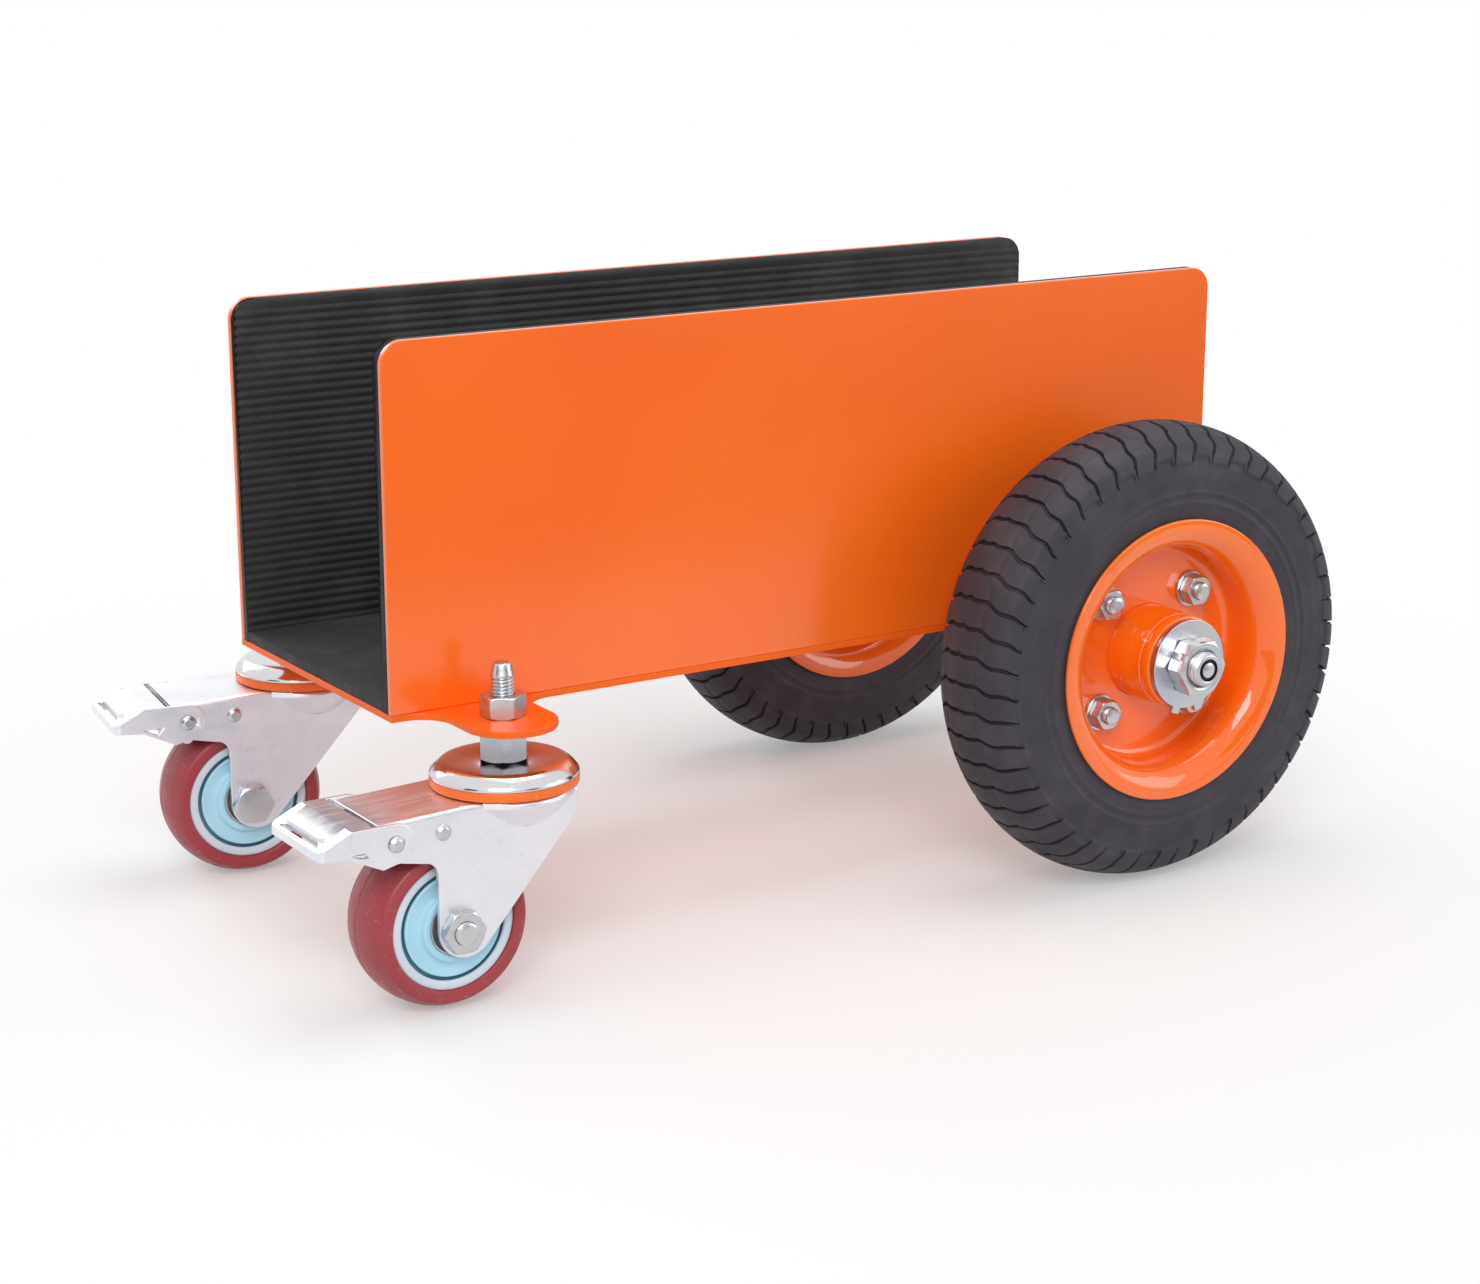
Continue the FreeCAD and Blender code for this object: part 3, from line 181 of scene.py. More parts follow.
def plated(name, colour, tint, rough, streaks, grain=(1, 1, 1)):
    """Zinc plate: a cool metal with a faint passivation tint, fine scratches and dull spots."""
    finish = Finish(name)
    cloud = finish.span(finish.noise(45, 3), 0.36, 0.66)
    metal = finish.mix(cloud, colour, tint)
    spots = finish.span(finish.noise(520, 3, 0.6), 0.6, 0.75, 0, 0.18)
    metal = finish.mix(spots, metal, srgb(150, 148, 146))
    lines = finish.noise(streaks, 4, 0.7, grain)
    finish.set(
        Base_Color=metal,
        Metallic=1,
        Roughness=finish.span(lines, 0.3, 0.72, rough - 0.05, rough + 0.1),
    )
    coarse = finish.bump(lines, 0.04, 0.03)
    finish.set(Normal=finish.bump(finish.noise(900, 2), 0.03, 0.03, coarse))
    return finish.material


def rubber(name, colour, dusty, rough, pebble, relief, dust):
    """Rubber: a fine moulded grain, with pale dust that lies in patches."""
    finish = Finish(name)
    patches = finish.span(finish.noise(38, 5, 0.62), 0.45, 0.75, 0, dust)
    base = finish.mix(patches, colour, dusty)
    specks = finish.span(finish.noise(900, 2, 0.6), 0.68, 0.78, 0, 0.4)
    finish.set(
        Base_Color=finish.mix(specks, base, dusty),
        Roughness=finish.span(finish.noise(120, 3), 0.3, 0.7, rough - 0.1, rough + 0.08),
        Specular_IOR_Level=0.3,
    )
    grain = finish.bump(finish.noise(pebble, 2, 0.5), 0.3, relief)
    finish.set(Normal=grain)
    return finish.material


def moulded(name, colour, deep, rough, shine=0.5, under=0.0):
    """A moulded plastic or urethane: slight clouding, flow marks and scuffs."""
    finish = Finish(name)
    cloud = finish.span(finish.noise(26, 3), 0.3, 0.7)
    base = finish.mix(cloud, colour, deep)
    scuffs = finish.span(finish.noise(340, 4, 0.7), 0.6, 0.74, 0, 0.25)
    finish.set(
        Base_Color=finish.mix(scuffs, base, srgb(206, 196, 196)),
        Roughness=finish.span(finish.noise(150, 4, 0.65), 0.3, 0.72, rough - 0.08, rough + 0.14),
        Specular_IOR_Level=shine,
        Subsurface_Weight=under,
        Subsurface_Radius=(0.004, 0.002, 0.002),
        Subsurface_Scale=0.4,
    )
    finish.set(Normal=finish.bump(finish.noise(480, 2), 0.1, 0.08))
    return finish.material


LOOKS = {
    "orange_paint": painted("orange_paint", srgb(255, 111, 22), srgb(250, 103, 16), 0.4, 0.9, 0.18),
    "orange_base": painted("orange_base", srgb(250, 104, 20), srgb(244, 96, 15), 0.45, 0.25, 0.3),
    "orange_rim": painted("orange_rim", srgb(255, 120, 20), srgb(250, 108, 15), 0.3, 0.9, 0.06),
    # The swivel ring is coloured orange as a painted reflection of the orange lug in the zinc
    # swivel head
    "orange_seal": moulded("orange_seal", srgb(250, 116, 38), srgb(240, 102, 28), 0.38),
    "pad_rubber": rubber("pad_rubber", srgb(44, 43, 45), srgb(92, 88, 86), 0.66, 700, 0.12, 0.25),
    "tyre_rubber": rubber("tyre_rubber", srgb(57, 54, 61), srgb(98, 95, 101), 0.6, 800, 0.1, 0.3),
    "zinc_fastener": plated("zinc_fastener", srgb(204, 204, 204), srgb(192, 196, 206), 0.29, 240),
    "zinc_sheet": plated(
        "zinc_sheet", srgb(238, 238, 243), srgb(229, 231, 239), 0.36, 90, (0.5, 3, 3)
    ),
    "bright_cap": plated("bright_cap", srgb(222, 220, 218), srgb(212, 212, 218), 0.13, 160),
    "bearing_steel": plated("bearing_steel", srgb(196, 198, 202), srgb(180, 184, 190), 0.3, 200),
    "red_tread": moulded("red_tread", srgb(168, 62, 70), srgb(148, 50, 58), 0.36, 0.5, 0.12),
    "blue_core": moulded("blue_core", srgb(182, 228, 246), srgb(170, 218, 238), 0.34, 0.5, 0.1),
    "core_rim": moulded("core_rim", srgb(216, 226, 236), srgb(204, 216, 228), 0.36, 0.5, 0.1),
    # Darker blue as painted shade in the side groove of the caster core
    "core_groove_shade": moulded("core_groove_shade", srgb(84, 138, 158), srgb(66, 120, 142), 0.42),
    # Near-black painted shade for the ring groove in each end of the wheel axle
    "painted_groove_shade": moulded("painted_groove_shade", srgb(40, 42, 52), srgb(30, 32, 40), 0.5, 0.3),
    "flag": rubber("flag", srgb(70, 66, 66), srgb(92, 88, 86), 0.8, 300, 0.1, 0.3),
    "bearing_shield": plated("bearing_shield", srgb(172, 172, 170), srgb(158, 158, 160), 0.42, 200),
}

for name, node in NODES.items():
    node.data.materials.clear()
    node.data.materials.append(LOOKS[SLOT_OF[name]])


# Pieces


def piece(name, mesh, nodes, place=Matrix.Identity(4)):
    """Show a mesh in place of CAD nodes, on their body and with their finish."""
    first = nodes[0]
    obj = bpy.data.objects.new(name, mesh)
    bpy.context.scene.collection.objects.link(obj)
    obj.matrix_world = place
    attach(obj, NODES[first]["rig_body"])
    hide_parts(*nodes)
    if not mesh.materials:
        mesh.materials.append(LOOKS[SLOT_OF[first]])
    return obj


def settle(work, name):
    """Turn a bmesh into a smooth mesh whose true corners stay crisp."""
    mesh = bpy.data.meshes.new(name)
    work.to_mesh(mesh)
    work.free()
    mesh.shade_smooth()
    mesh.set_sharp_from_angle(angle=math.radians(50))
    return mesh


def corners(work, least):
    """Edges whose two faces turn by more than so many degrees."""
    return [
        edge for edge in work.edges
        if len(edge.link_faces) == 2 and edge.calc_face_angle(0) > math.radians(least)
    ]


def round_off(work, edges, width, segments=2):
    """Round edges off by a width in millimetres."""
    bmesh.ops.bevel(
        work,
        geom=edges,
        offset=width * MM,
        segments=segments,
        profile=0.5,
        affect="EDGES",
        clamp_overlap=False,
    )


def softened(name, width, wide=None, wide_edges=None, shape=None):
    """A CAD node with its edges rounded off, as pressed or plated metal has them."""
    work = bmesh.new()
    work.from_mesh(NODES[name].data)
    bmesh.ops.remove_doubles(work, verts=work.verts, dist=0.002 * MM)
    bmesh.ops.dissolve_limit(
        work, angle_limit=math.radians(0.3), verts=work.verts, edges=work.edges
    )
    if shape:
        shape(work)
    if wide:
        round_off(work, [edge for edge in corners(work, 25) if wide_edges(edge)], wide, 4)
    round_off(work, corners(work, 29), width)
    obj = piece(name + "_soft", settle(work, name + "_soft"), [name])
    modifier = obj.modifiers.new("Weighted normals", "WEIGHTED_NORMAL")
    modifier.keep_sharp = True
    return obj


def ring(radius, along, count=96):
    """One ring of a turned form. Radius and along may each be a function of the part of a turn."""

    def value(given, turn):
        return given(turn) if callable(given) else given

    turns = [step / count for step in range(count)]
    return [(turn, value(radius, turn), value(along, turn)) for turn in turns]


def plain_rings(points, count=96):
    """Round rings of a turned form, from (radius, along) points."""
    return [ring(radius, along, count) for radius, along in points]


def skin(name, rings, axis, paints=None, loop=False):
    """A closed form through rings about Y or Z; paints gives a material for each band."""
    work = bmesh.new()
    rows = []
    for row in rings:
        verts = []
        for turn, radius, along in row:
            across, up = radius * math.cos(turn * math.tau), radius * math.sin(turn * math.tau)
            spot = (across, along, up) if axis == "Y" else (across, up, along)
            verts.append(work.verts.new(Vector(spot) * MM))
        rows.append(verts)
    pairs = list(zip(rows, rows[1:]))
    if loop:
        pairs.append((rows[-1], rows[0]))
    for band, (low, high) in enumerate(pairs):
        for step in range(len(low)):
            after = (step + 1) % len(low)
            face = work.faces.new((low[step], low[after], high[after], high[step]))
            face.material_index = paints[band] if paints else 0
    if not loop:
        work.faces.new(rows[0])
        work.faces.new(rows[-1])
    bmesh.ops.recalc_face_normals(work, faces=work.faces)
    return settle(work, name)


def lathe(name, profile, axis, paints=None, count=96):
    """A turned form with a bore, from the (radius, along) points round its section."""
    return skin(name, plain_rings(profile, count), axis, paints, loop=True)


def mirrored(half):
    """A profile of (radius, along) points followed by its mirror image."""
    return half + [(radius, -along) for radius, along in reversed(half)]


def thread(radius, start, end, pitch, count=40):
    """Rings of a screw thread from start to end along the axis."""
    depth, half_width = 0.6 * pitch, 0.42
    rows_per_turn, fade_rows = 8, 5
    rows = max(4, round(abs(end - start) / pitch * rows_per_turn))
    rings = []
    for row in range(rows + 1):
        along = start + (end - start) * row / rows
        fade = min(1, row / fade_rows, (rows - row) / fade_rows)

        def cut(turn, along=along, fade=fade):
            phase = (along / pitch - turn) % 1
            return radius - fade * depth * max(0, 1 - abs(phase - 0.5) / half_width)

        rings.append(ring(cut, along, count))
    return rings


def hex_radius(flats):
    """The radius of a hexagon by the part of a turn."""

    def radius(turn):
        past = turn * 360 % 60
        return flats / 2 / math.cos(math.radians(past - 30))

    return radius


def hex_rings(flats, start, end, count):
    """The outside of a hexagon with chamfered ends, from start to end along the axis."""
    outer = hex_radius(flats)
    flat = flats / 2
    toward = 1 if end > start else -1
    slope = math.tan(math.radians(30))
    # The end face stops short of the flats by face_inset, and eases over to lip_inset at lip_drop
    face_inset, lip_inset, lip_drop, edge_drop = 0.35, 0.1, 0.06, 0.15

    def chamfer(turn):
        return toward * (edge_drop + (outer(turn) - flat) * slope)

    return [
        ring(flat - face_inset, start, count),
        ring(flat - lip_inset, start + toward * lip_drop, count),
        ring(outer, lambda turn: start + chamfer(turn), count),
        ring(outer, lambda turn: end - chamfer(turn), count),
        ring(flat - lip_inset, end - toward * lip_drop, count),
        ring(flat - face_inset, end, count),
    ]


def repeated(mesh, places):
    """One mesh with a copy at each place."""
    work = bmesh.new()
    for place in places:
        start = len(work.verts)
        work.from_mesh(mesh)
        work.verts.ensure_lookup_table()
        bmesh.ops.transform(work, matrix=place, verts=work.verts[start:])
    return settle(work, mesh.name + "_set")


def held(value):
    """A value kept between 0 and 1."""
    return min(1, max(0, value))


def at(x, y, z, turn=0):
    """A place in millimetres, turned about the vertical by degrees."""
    return Matrix.Translation(Vector((x, y, z)) * MM) @ Matrix.Rotation(math.radians(turn), 4, "Z")


AXLE_X, WHEEL_Y, WHEEL_RADIUS = 156.5, 127.5, 107.5
STEM_X, STEM_Y, RIGHT_SWING = -165.5, 100, -8
TRAIL, CASTER_RADIUS = 33, 37.5
WHEEL = {
    "left": at(AXLE_X, -WHEEL_Y, WHEEL_RADIUS),
    "right": at(AXLE_X, WHEEL_Y, WHEEL_RADIUS, 180),
}
STEM = {"left": at(STEM_X, -STEM_Y, 0), "right": at(STEM_X, STEM_Y, 0, RIGHT_SWING)}
CASTER_AXLE = {
    "left": STEM["left"] @ at(-TRAIL, 0, CASTER_RADIUS),
    "right": STEM["right"] @ at(-TRAIL, 0, CASTER_RADIUS, 180),
}


# Sheet metal, nuts and washers that keep their CAD form


# How much of an axis a normal holds when its face counts as facing along it
FACING = 0.9


def caster_normals(side, edge):
    """The normals of an edge's faces, in its caster's own frame."""
    inverse = STEM[side].inverted().to_3x3()
    return [inverse @ face.normal for face in edge.link_faces]


def top_bend(side):
    """The fork's long upper bends, where its legs turn into its top."""

    def test(edge):
        normals = caster_normals(side, edge)
        across = max(abs(normal.y) for normal in normals)
        up = max(normal.z for normal in normals)
        return edge.is_convex and across > FACING and up > FACING

    return test


def pedal_corner(side):
    """The upright corners at the front of a pedal, where its wall turns into its cheeks."""

    def test(edge):
        normals = caster_normals(side, edge)
        forward = max(-normal.x for normal in normals)
        across = max(abs(normal.y) for normal in normals)
        return edge.is_convex and forward > FACING and across > FACING

    return test


def pedal_slope(side):
    """Slope a pedal's flap and front bar down from its top."""
    place = STEM[side]
    inverse = place.inverted()
    start, bottom, top, slope = -81.5, 78, 86, 0.26

    def shape(work):
        work.normal_update()
        level = [face for face in work.faces if abs(face.normal.z) > FACING]
        edges = dict.fromkeys(edge for face in level for edge in face.edges)
        verts = dict.fromkeys(vert for face in level for vert in face.verts)
        bmesh.ops.bisect_plane(
            work,
            geom=[*verts, *edges, *level],
            plane_co=place @ (Vector((start, 0, 0)) * MM),
            plane_no=place.to_3x3() @ Vector((1, 0, 0)),
        )
        for vert in work.verts:
            spot = (inverse @ vert.co) / MM
            share = held((spot.z - bottom) / (top - bottom))
            spot.z -= slope * max(0, start - spot.x) * share
            vert.co = place @ (spot * MM)

    return shape


FLANGE_EDGE = 65.5


def flange(edge):
    """The rolled edge of a rim."""
    middle = (edge.verts[0].co + edge.verts[1].co) / 2 / MM
    return math.hypot(middle.x - AXLE_X, middle.z - WHEEL_RADIUS) > FLANGE_EDGE


softened("base_plate", 0.4).data.materials[0] = LOOKS["orange_base"]
softened("axle_brackets", 0.5)
softened("axle_spacers", 0.5)
softened("axle_tab_washers", 0.4)
softened("stem_nuts", 0.3)
softened("kingpin_washers", 0.3)
for side in SIDES:
    softened(f"{side}_side_plate", 0.5)
    for half in ("outer", "inner"):
        softened(f"{side}_rim_{half}_half", 0.4, 0.8, flange)
    # The swivel ring keeps orange_seal, its orange painted reflection of the lug
    softened(f"{side}_swivel_ring", 0.8)
    softened(f"{side}_caster_fork", 0.35, 1.8, top_bend(side))
    softened(f"{side}_brake_pedal", 0.35, 3.5, pedal_corner(side), pedal_slope(side))
    softened(f"{side}_fork_rivets", 0.4)
    softened(f"{side}_rim_washers", 0.3)
    softened(f"{side}_rim_nuts", 0.25)
    softened(f"{side}_caster_nut", 0.3)
    softened(f"{side}_caster_bushes", 0.25)


# Tyres


# The tyre's section: two arcs, given by radius and centre as (across, up from the axle)
CROWN, CROWN_CENTRE = 36, (0, 71.48)
FLANK, FLANK_CENTRE = 46, (-19.39, 79.93)
SHOULDER = (22, 100)


def tyre_profile(travel):
    """A point of the tyre's outline and its normal, by the way in mm along it from the crown."""
    side = 1 if travel >= 0 else -1
    travel = abs(travel)
    crown_end = math.asin(SHOULDER[0] / CROWN)
    if travel <= CROWN * crown_end:
        radius, centre = CROWN, CROWN_CENTRE
        angle = travel / CROWN
    else:
        radius, centre = FLANK, FLANK_CENTRE
        start = math.atan2(SHOULDER[0] - FLANK_CENTRE[0], SHOULDER[1] - FLANK_CENTRE[1])
        angle = start + (travel - CROWN * crown_end) / FLANK
    across, up = math.sin(angle), math.cos(angle)
    return side * (centre[0] + radius * across), centre[1] + radius * up, side * across, up


def tyre_mesh():
    """A tyre with wavy cross grooves, two faint ring lines, stepped shoulders and flank ribs."""
    pitches, pitch_length = 52, 13
    half_width, sweep_reach, wave_height, wave_rate = 29, 6.5, 0.7, 0.45
    ring_place, ring_sway, sway_reach, sway_end = 10.2, 0.9, 7, 20
    groove_depth, step_depth, rib_depth = 2.2, 0.9, 0.3
    short_stop, long_stop = 28.1, 32.3
    short_shoulder, long_shoulder = 29.3, 32.3
    tread_end, even_length = 33, 2.4
    step_end, step_length = 54, 6
    ribs_start, ribs_end = 35.2, 43
    # The columns of one pitch, as parts of it: the first two and the last are a groove's floor
    groove = [0, 0.055, 0.085, 0.18, 0.28, 0.39, 0.5, 0.61, 0.72, 0.82, 0.915, 0.945]
    columns = len(groove)
    floor_columns = (0, 1, columns - 1)
    # The rows, by their distance in mm along the outline from the crown
    travels = [0, 1.5, 3, 4.5, 6, 7.4, 8.6, 9.3, 10.2, 11.1, 11.8, 13, 14.5, 16, 17.5, 19, 20.5, 22]
    travels += [23.3, 24.5, 25.7, 26.9, 28.1, 29.3, 30.1, 30.7, 31.5, 32.3, 32.9, 33.5, 34.4, 35.2]
    travels += [36, 37.5, 39, 40.5, 42, 43, 43.8, 44.6, 45.2, 45.7, 46.3, 46.9, 47.4, 48.6, 49.8]
    travels += [50.3, 50.9, 51.5, 52, 53.5, 55, 57]
    ring_line = {9.3: 0.3, 10.2: 0.4, 11.1: 0.3}
    ridges = {45.7: 0.35, 46.3: 0.45, 46.9: 0.35, 50.3: 0.3, 50.9: 0.4, 51.5: 0.3}

    def row(travel, side):
        """One row: grooves on the tread, a step at the shoulder, then ribs and ridges."""
        samples = []
        even_out = held((travel - tread_end) / even_length)
        beside, radius, _, _ = tyre_profile(travel)
        wave = wave_height * math.sin(travel * wave_rate)
        sweep = sweep_reach * (beside / half_width) ** 1.7 + wave
        bend = sweep * WHEEL_RADIUS / radius
        sway = ring_sway * max(0, 1 - abs(travel - ring_place) / sway_reach)
        step_fade = held((step_end - travel) / step_length)
        for pitch in range(pitches):
            short = pitch % 2
            for column, spot in enumerate(groove):
                floor = column in floor_columns
                across = spot * (1 - even_out) + column / columns * even_out
                stop = short_stop if short else long_stop
                fade = held((stop - travel) / 1.6 + 0.4)
                cut = max(groove_depth * floor * fade, ring_line.get(travel, 0))
                shoulder = short_shoulder if short and not floor else long_shoulder
                if travel > shoulder:
                    cut = max(cut, min(step_depth, (travel - shoulder) * step_depth) * step_fade)
                if ribs_start <= travel <= ribs_end:
                    cut += rib_depth * (column % 2)
                cut -= ridges.get(travel, 0)
                swing = abs(across - 0.5) * 4 - 1
                moved = travel + sway * swing if travel < sway_end else travel
                out, up, normal_out, normal_up = tyre_profile(side * moved)
                turn = (pitch + across + bend / pitch_length) / pitches
                samples.append((turn, up - cut * normal_up, out - cut * normal_out))
        return samples

    rows = [row(travel, -1) for travel in reversed(travels)]
    rows += [row(travel, 1) for travel in travels[1:]]
    # The bead, from the flank in to the seat on the rim
    heel = [(64.1, 24.9), (59.9, 24.05), (56.32, 21.7), (53.94, 18.1), (53.1, 13.9)]
    last = [turn for turn, _, _ in rows[-1]]
    rows += [[(turn, radius, along) for turn in last] for radius, along in mirrored(heel)]
    return skin("tyre", rows, "Y", loop=True)


tyre = tyre_mesh()
for side in SIDES:
    piece(f"{side}_tyre_moulded", tyre, [f"{side}_tyre"], WHEEL[side])


# Hubs, axle and fasteners of the large wheels

hub = lathe("hub", [
    (17.5, -29.6), (17.9, -30), (21.2, -30), (21.6, -29.6), (21.6, -25.2), (21.1, -24.8),
    (21.1, -23.6), (21.6, -23.2), (21.6, -16.4), (22, -16), (22, 16), (21.6, 16.4), (21.6, 23.2),
    (21.1, 23.6), (21.1, 24.8), (21.6, 25.2), (21.6, 29.6), (21.2, 30), (17.9, 30), (17.5, 29.6),
    (17.5, 19), (15, 19), (15, -19), (17.5, -19),
], "Y")
# The axle's ends: a pale end face, a ring groove coloured with painted shade, then a chamfered lip
axle_tip = [
    (3.2, 174.5), (3.5, 174.3), (3.6, 173.3), (5.2, 173.3), (5.3, 174.3), (5.6, 174.5),
    (6.7, 174.5), (7.1, 174.2), (7.6, 173.4),
]
axle_rings = plain_rings([(radius, -along) for radius, along in axle_tip], 40)
axle_rings += thread(8, -173, -160, 2) + thread(8, 160, 173, 2)
axle_rings += plain_rings(axle_tip[::-1], 40)
# Bands 1 to 3 of each end, the walls and floor of the groove, take the painted shade
tip_paint = [0, 1, 1, 1]
plain = [0] * (len(axle_rings) - 1 - 2 * len(tip_paint))
axle = skin("wheel_axle", axle_rings, "Y", tip_paint + plain + tip_paint[::-1])
axle.materials.append(LOOKS["zinc_fastener"])
axle.materials.append(LOOKS["painted_groove_shade"])
piece("wheel_axle_threaded", axle, ["wheel_axle"], at(AXLE_X, 0, WHEEL_RADIUS))

nut_rings = plain_rings([(8.05, -33.6)], 72) + hex_rings(24, -33.5, -43.5, 72)
nut_rings += plain_rings([(9.3, -43.5), (8.05, -42.3)], 72)
axle_nut = skin("axle_nut", nut_rings, "Y", loop=True)

bolt_rings = plain_rings([(2, -13.1), (3.3, -13.1), (3.7, -12.8)], 36)
bolt_rings += thread(4, -12.7, -3, 1.25, 36)
bolt_rings += plain_rings([(4, 1.8)], 36) + hex_rings(13, 2, 7.3, 36)
bolt = skin("rim_bolt", bolt_rings, "Y")
BOLT_REACH = 37
bolt_places = []
for angle in (45, 135, 225, 315):
    turn = math.radians(angle)
    spot = Vector((math.cos(turn), 0, math.sin(turn))) * BOLT_REACH * MM
    bolt_places.append(Matrix.Translation(spot))
bolts = repeated(bolt, bolt_places)
for side in SIDES:
    piece(f"{side}_hub_turned", hub, [f"{side}_hub"], WHEEL[side])
    piece(f"{side}_axle_nut_turned", axle_nut, ["axle_nuts"], WHEEL[side])
    piece(f"{side}_rim_bolts_threaded", bolts, [f"{side}_rim_bolts"], WHEEL[side])


# Caster caps, stems, bolts and wheels

cap = lathe("swivel_cap", [
    (5.05, 95.1), (25.5, 95.1), (25.5, 94.5), (31.2, 94.5), (31.5, 94.8), (31.5, 95.4), (31.25, 96),
    (30.75, 96.7), (29.9, 97.75), (28.95, 98.75), (28.05, 99.55), (27.2, 100.1), (26.2, 100.45),
    (24.8, 100.58), (23, 100.6), (5.3, 100.6), (5.05, 100.4),
], "Z", count=128)

kingpin = [(6.6, 80), (7.6, 80.3), (8, 81), (8, 84.7), (7.7, 85), (5, 85), (5, 100.5)]
stem_tip = [(4.9, 136.9), (4.3, 139.4), (3.95, 141), (3.6, 141.6), (3.1, 141.8)]
stem_rings = plain_rings(kingpin, 60) + hex_rings(19, 100.6, 115.8, 60)
stem_rings += plain_rings([(5, 115.8)], 60) + thread(5, 117, 136.6, 1.5, 60)
stem_rings += plain_rings(stem_tip, 60)
stem = skin("caster_stem", stem_rings, "Z")

pin_rings = plain_rings([(3.2, -28.5), (4.2, -28.5), (4.6, -28.1)], 48)
pin_rings += thread(5, -28, -19, 1.5, 48)
pin_rings += plain_rings([(5, 21.3)], 48) + hex_rings(17, 21.5, 26.5, 48)
caster_bolt = skin("caster_bolt", pin_rings, "Y")

TREAD_CROWN = 34
half_tread = [
    (28, 15.6), (28.4, 16), (32.2, 16), (32.9, 15.8), (33.5, 15.3), (34, 14.5), (34.55, 13),
]
for along in (11, 9, 7, 5, 3, 1.6, 0.7):
    rise = math.sqrt(TREAD_CROWN ** 2 - along ** 2)
    half_tread.append((CASTER_RADIUS - TREAD_CROWN + rise, along))
half_tread += [(37.35, 0.45), (37.5, 0.2)]
tread = lathe("caster_tread", mirrored(half_tread), "Y", count=128)

half_core = [
    (10, 9.5), (12, 9.5), (12, 17.3), (12.3, 17.5), (14.6, 17.5), (15, 17.1), (15.2, 15.6),
    (15.8, 15), (17.2, 14.7), (20.8, 14.7), (21.5, 15), (22, 14.8), (22.2, 14.2), (22.3, 12.5),
    (23.7, 12.5), (23.8, 14.2), (24, 14.8), (24.5, 15), (27, 15), (27.6, 14.8), (28, 14.3),
]
core_looks = ("blue_core", "core_rim", "core_groove_shade")
# Each band's place in core_looks: the web and hub, then the groove in painted shade, then the rim
half_paint = [0] * 12 + [2] * 3 + [1] * 5
core_paint = half_paint + [1] + half_paint[::-1] + [0]
core = lathe("caster_core", mirrored(half_core), "Y", core_paint)
for look in core_looks:
    core.materials.append(LOOKS[look])

half_bearing = [
    (5.05, 9.6), (5.05, 17.2), (5.3, 17.5), (6.9, 17.5), (7.1, 17.3), (7.15, 16.8), (7.4, 16.7),
    (10, 16.7), (10.2, 16.8), (10.3, 17.3), (10.5, 17.5), (11.7, 17.5), (11.95, 17.2),
    (11.95, 9.6),
]
shield_paint = [0] * 5 + [1] * 3 + [0] * 6
bearing = lathe("caster_bearing", half_bearing, "Y", shield_paint, count=72)
bearings = repeated(bearing, [Matrix.Identity(4), Matrix.Rotation(math.pi, 4, "Z")])
bearings.materials.append(LOOKS["bearing_steel"])
bearings.materials.append(LOOKS["bearing_shield"])
for side in SIDES:
    piece(f"{side}_swivel_cap_domed", cap, [f"{side}_swivel_cap"], STEM[side])
    piece(f"{side}_caster_stem_threaded", stem, [f"{side}_caster_stem"], STEM[side])
    piece(f"{side}_caster_bolt_threaded", caster_bolt, [f"{side}_caster_bolt"], CASTER_AXLE[side])
    piece(f"{side}_caster_tread_cast", tread, [f"{side}_caster_tread"], CASTER_AXLE[side])
    piece(f"{side}_caster_core_moulded", core, [f"{side}_caster_core"], CASTER_AXLE[side])
    piece(
        f"{side}_caster_bearings_shielded",
        bearings,
        [f"{side}_caster_bearings"],
        CASTER_AXLE[side],
    )


# Rubber liners


def liner(name, node, profile, inset):
    """A ribbed rubber sheet: a profile of (y, z) along X, with round ends set back by inset(z)."""
    low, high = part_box(node)
    work = bmesh.new()
    middle_y = sum(y for y, _ in profile) / len(profile)
    middle_z = sum(z for _, z in profile) / len(profile)
    thin = 1 if high.y - low.y < high.z - low.z else 2
    rows = []
    # How far each section lies from the nearer end, and how much thinner it is there
    near_end = [(0, 0.9), (0.25, 0.45), (0.9, 0), (30, 0)]
    stations = near_end + [(-shift, shrink) for shift, shrink in reversed(near_end)]
    for number, (shift, shrink) in enumerate(stations):
        verts = []
        for y, z in profile:
            near = number < len(near_end)
            x = low.x / MM + inset(z) + shift if near else high.x / MM - inset(z) + shift
            if thin == 1:
                y += math.copysign(min(shrink, abs(middle_y - y)), middle_y - y)
            else:
                z += math.copysign(min(shrink, abs(middle_z - z)), middle_z - z)
            verts.append(work.verts.new(Vector((x, y, z)) * MM))
        rows.append(verts)
    for first, second in zip(rows, rows[1:]):
        for step in range(len(first)):
            after = (step + 1) % len(first)
            work.faces.new((first[step], first[after], second[after], second[step]))
    work.faces.new(rows[0])
    work.faces.new(rows[-1])
    bmesh.ops.recalc_face_normals(work, faces=work.faces)
    obj = piece(name, settle(work, name), [node])


def ribs(start, end, top, depth, pitch=4):
    """Points of a ribbed face from start to end: (along, height), with round ribs."""
    count = round(abs(end - start) / pitch)
    points = []
    for number in range(count):
        for part, height in ((0.1, 0.25), (0.25, 0.85), (0.5, 1), (0.75, 0.85), (0.9, 0.25)):
            along = start + (end - start) * (number + part) / count
            points.append((along, top - depth * (1 - height)))
    return points


PLATE_TOP, PLATE_CORNER, PAD_FACE = 274.8, 10, 69


def corner_cut(z):
    """How far the liner's ends lie back at a height, for the round upper corners."""
    rise = max(0, z - (PLATE_TOP - PLATE_CORNER))
    return PLATE_CORNER - math.sqrt(max(0, PLATE_CORNER ** 2 - rise ** 2))


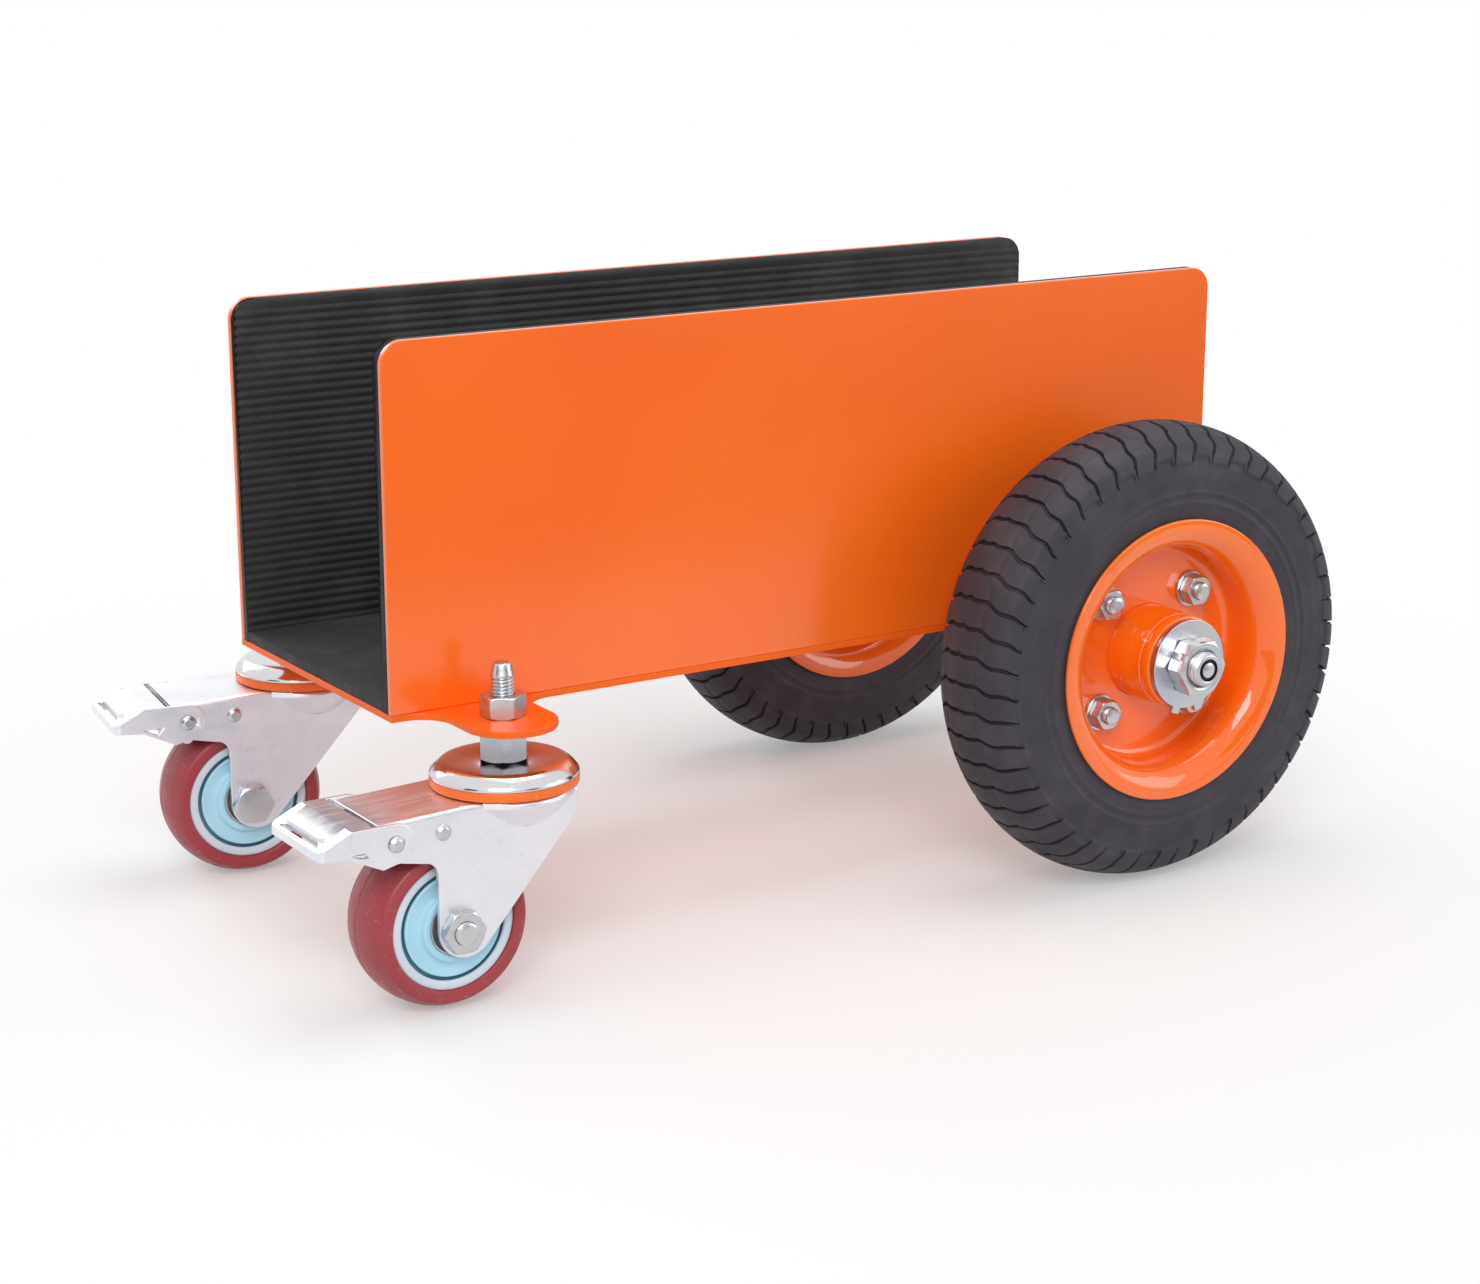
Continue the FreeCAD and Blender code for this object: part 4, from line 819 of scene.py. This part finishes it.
for side, sign in (("left", -1), ("right", 1)):
    back = [(74, z) for z in (118.8, 190, 262, 266, 269, 271.5, 273.4)]
    lip = [(73.3, 274.6), (72.4, 274.8), (70.6, 274.8), (69.7, 274.4), (69.2, 273.4), (69, 272)]
    face = [(2 * PAD_FACE - height, along) for along, height in ribs(270, 122, PAD_FACE, 0.9)]
    foot = [(69.2, 119.4), (69.8, 118.8)]
    outline = [(sign * y, z) for y, z in back + lip + face + foot]
    liner(f"{side}_side_liner", f"{side}_side_pad", outline, corner_cut)
floor_outline = [(-69, 118.8), (-69, 123), (-68.4, 123.7)]
floor_outline += ribs(-67, 67, 123.8, 0.9)
floor_outline += [(68.4, 123.7), (69, 123), (69, 118.8)]
liner("floor_liner", "floor_pad", floor_outline, lambda z: 0)


# Stage, light and camera


MIDDLE = (0, 0, 0.12)


def square(name, width, height):
    """A flat card about its own middle."""
    x, y = width / 2, height / 2
    mesh = bpy.data.meshes.new(name)
    mesh.from_pydata([(-x, -y, 0), (x, -y, 0), (x, y, 0), (-x, y, 0)], [], [(0, 1, 2, 3)])
    return mesh


def backdrop_white(tree):
    """1 for rays that should see the white backdrop: camera, glossy and transmission rays."""
    path = tree.nodes.new("ShaderNodeLightPath")
    seen = path.outputs["Is Camera Ray"]
    for other in ("Is Glossy Ray", "Is Transmission Ray"):
        joined = tree.nodes.new("ShaderNodeMath")
        joined.operation = "MAXIMUM"
        tree.links.new(seen, joined.inputs[0])
        tree.links.new(path.outputs[other], joined.inputs[1])
        seen = joined.outputs[0]
    return seen


def studio_world(ambient):
    world = bpy.data.worlds.new("studio")
    bpy.context.scene.world = world
    world.use_nodes = True
    tree = world.node_tree
    background = tree.nodes["Background"]
    background.inputs["Color"].default_value = (1, 1, 1, 1)
    level = tree.nodes.new("ShaderNodeMapRange")
    level.inputs["To Min"].default_value = ambient
    tree.links.new(backdrop_white(tree), level.inputs["Value"])
    tree.links.new(level.outputs[0], background.inputs["Strength"])


def studio_floor(size):
    """A pale floor that keeps the shadow near the object and fades to white further out."""
    mesh = square("studio_floor", size, size)
    material = bpy.data.materials.new("studio_floor")
    material.use_nodes = True
    tree = material.node_tree
    tree.nodes.clear()
    out = tree.nodes.new("ShaderNodeOutputMaterial")
    matt = tree.nodes.new("ShaderNodeBsdfDiffuse")
    matt.inputs["Color"].default_value = (0.86, 0.86, 0.86, 1)
    white = tree.nodes.new("ShaderNodeEmission")
    level = tree.nodes.new("ShaderNodeMapRange")
    level.inputs["To Min"].default_value = 0.6
    tree.links.new(backdrop_white(tree), level.inputs["Value"])
    tree.links.new(level.outputs[0], white.inputs["Strength"])
    place = tree.nodes.new("ShaderNodeTexCoord")
    distance = tree.nodes.new("ShaderNodeVectorMath")
    distance.operation = "LENGTH"
    tree.links.new(place.outputs["Object"], distance.inputs[0])
    fade = tree.nodes.new("ShaderNodeMapRange")
    fade.interpolation_type = "SMOOTHERSTEP"
    fade.inputs["From Min"].default_value = 0.15
    fade.inputs["From Max"].default_value = 0.75
    fade.inputs["To Min"].default_value = 0.3
    tree.links.new(distance.outputs["Value"], fade.inputs["Value"])
    blend = tree.nodes.new("ShaderNodeMixShader")
    tree.links.new(fade.outputs[0], blend.inputs[0])
    tree.links.new(matt.outputs[0], blend.inputs[1])
    tree.links.new(white.outputs[0], blend.inputs[2])
    tree.links.new(blend.outputs[0], out.inputs["Surface"])
    mesh.materials.append(material)
    floor = bpy.data.objects.new("studio_floor", mesh)
    bpy.context.scene.collection.objects.link(floor)


def aimed(obj, spot, target):
    obj.location = spot
    obj.rotation_euler = (Vector(target) - Vector(spot)).to_track_quat("-Z", "Y").to_euler()
    bpy.context.scene.collection.objects.link(obj)


def soft_light(name, spot, size, power):
    light = bpy.data.lights.new(name, "AREA")
    light.shape = "SQUARE"
    light.size = size
    light.energy = power
    aimed(bpy.data.objects.new(name, light), spot, MIDDLE)


def flag(name, spot, width, height, target=MIDDLE):
    """A dark card beside the set that only metal and gloss pick up."""
    mesh = square(name, width, height)
    mesh.materials.append(LOOKS["flag"])
    card = bpy.data.objects.new(name, mesh)
    aimed(card, spot, target)
    card.visible_camera = False
    card.visible_diffuse = False
    card.visible_shadow = False


studio_world(0.5)
studio_floor(12)
soft_light("key", (-1.5, -2.1, 1.9), 1.4, 42)
soft_light("top", (0.3, 0.1, 2.4), 1.6, 18)
soft_light("fill", (1.9, -1.4, 0.9), 1.2, 10)
soft_light("rim", (-0.6, 2.2, 1.5), 1.2, 16)
flag("flag_front", (0.5, -2.6, 0.5), 0.9, 1.4)
flag("flag_left", (-2.6, -0.5, 0.6), 0.9, 1.6)
flag("flag_right", (2.4, 0.9, 0.7), 0.9, 1.6)
flag("flag_floor", (0.75, -1.4, 0.004), 2.6, 1.5, (0.75, -1.4, -1))

camera = bpy.data.cameras.new("camera")
camera.sensor_width = 36
camera.lens = 70.4
camera_object = bpy.data.objects.new("camera", camera)
aimed(camera_object, (-0.709, -1.1225, 0.4518), (0.0161, 0, 0.1025))
bpy.context.scene.camera = camera_object
bpy.context.scene.view_settings.view_transform = "Standard"
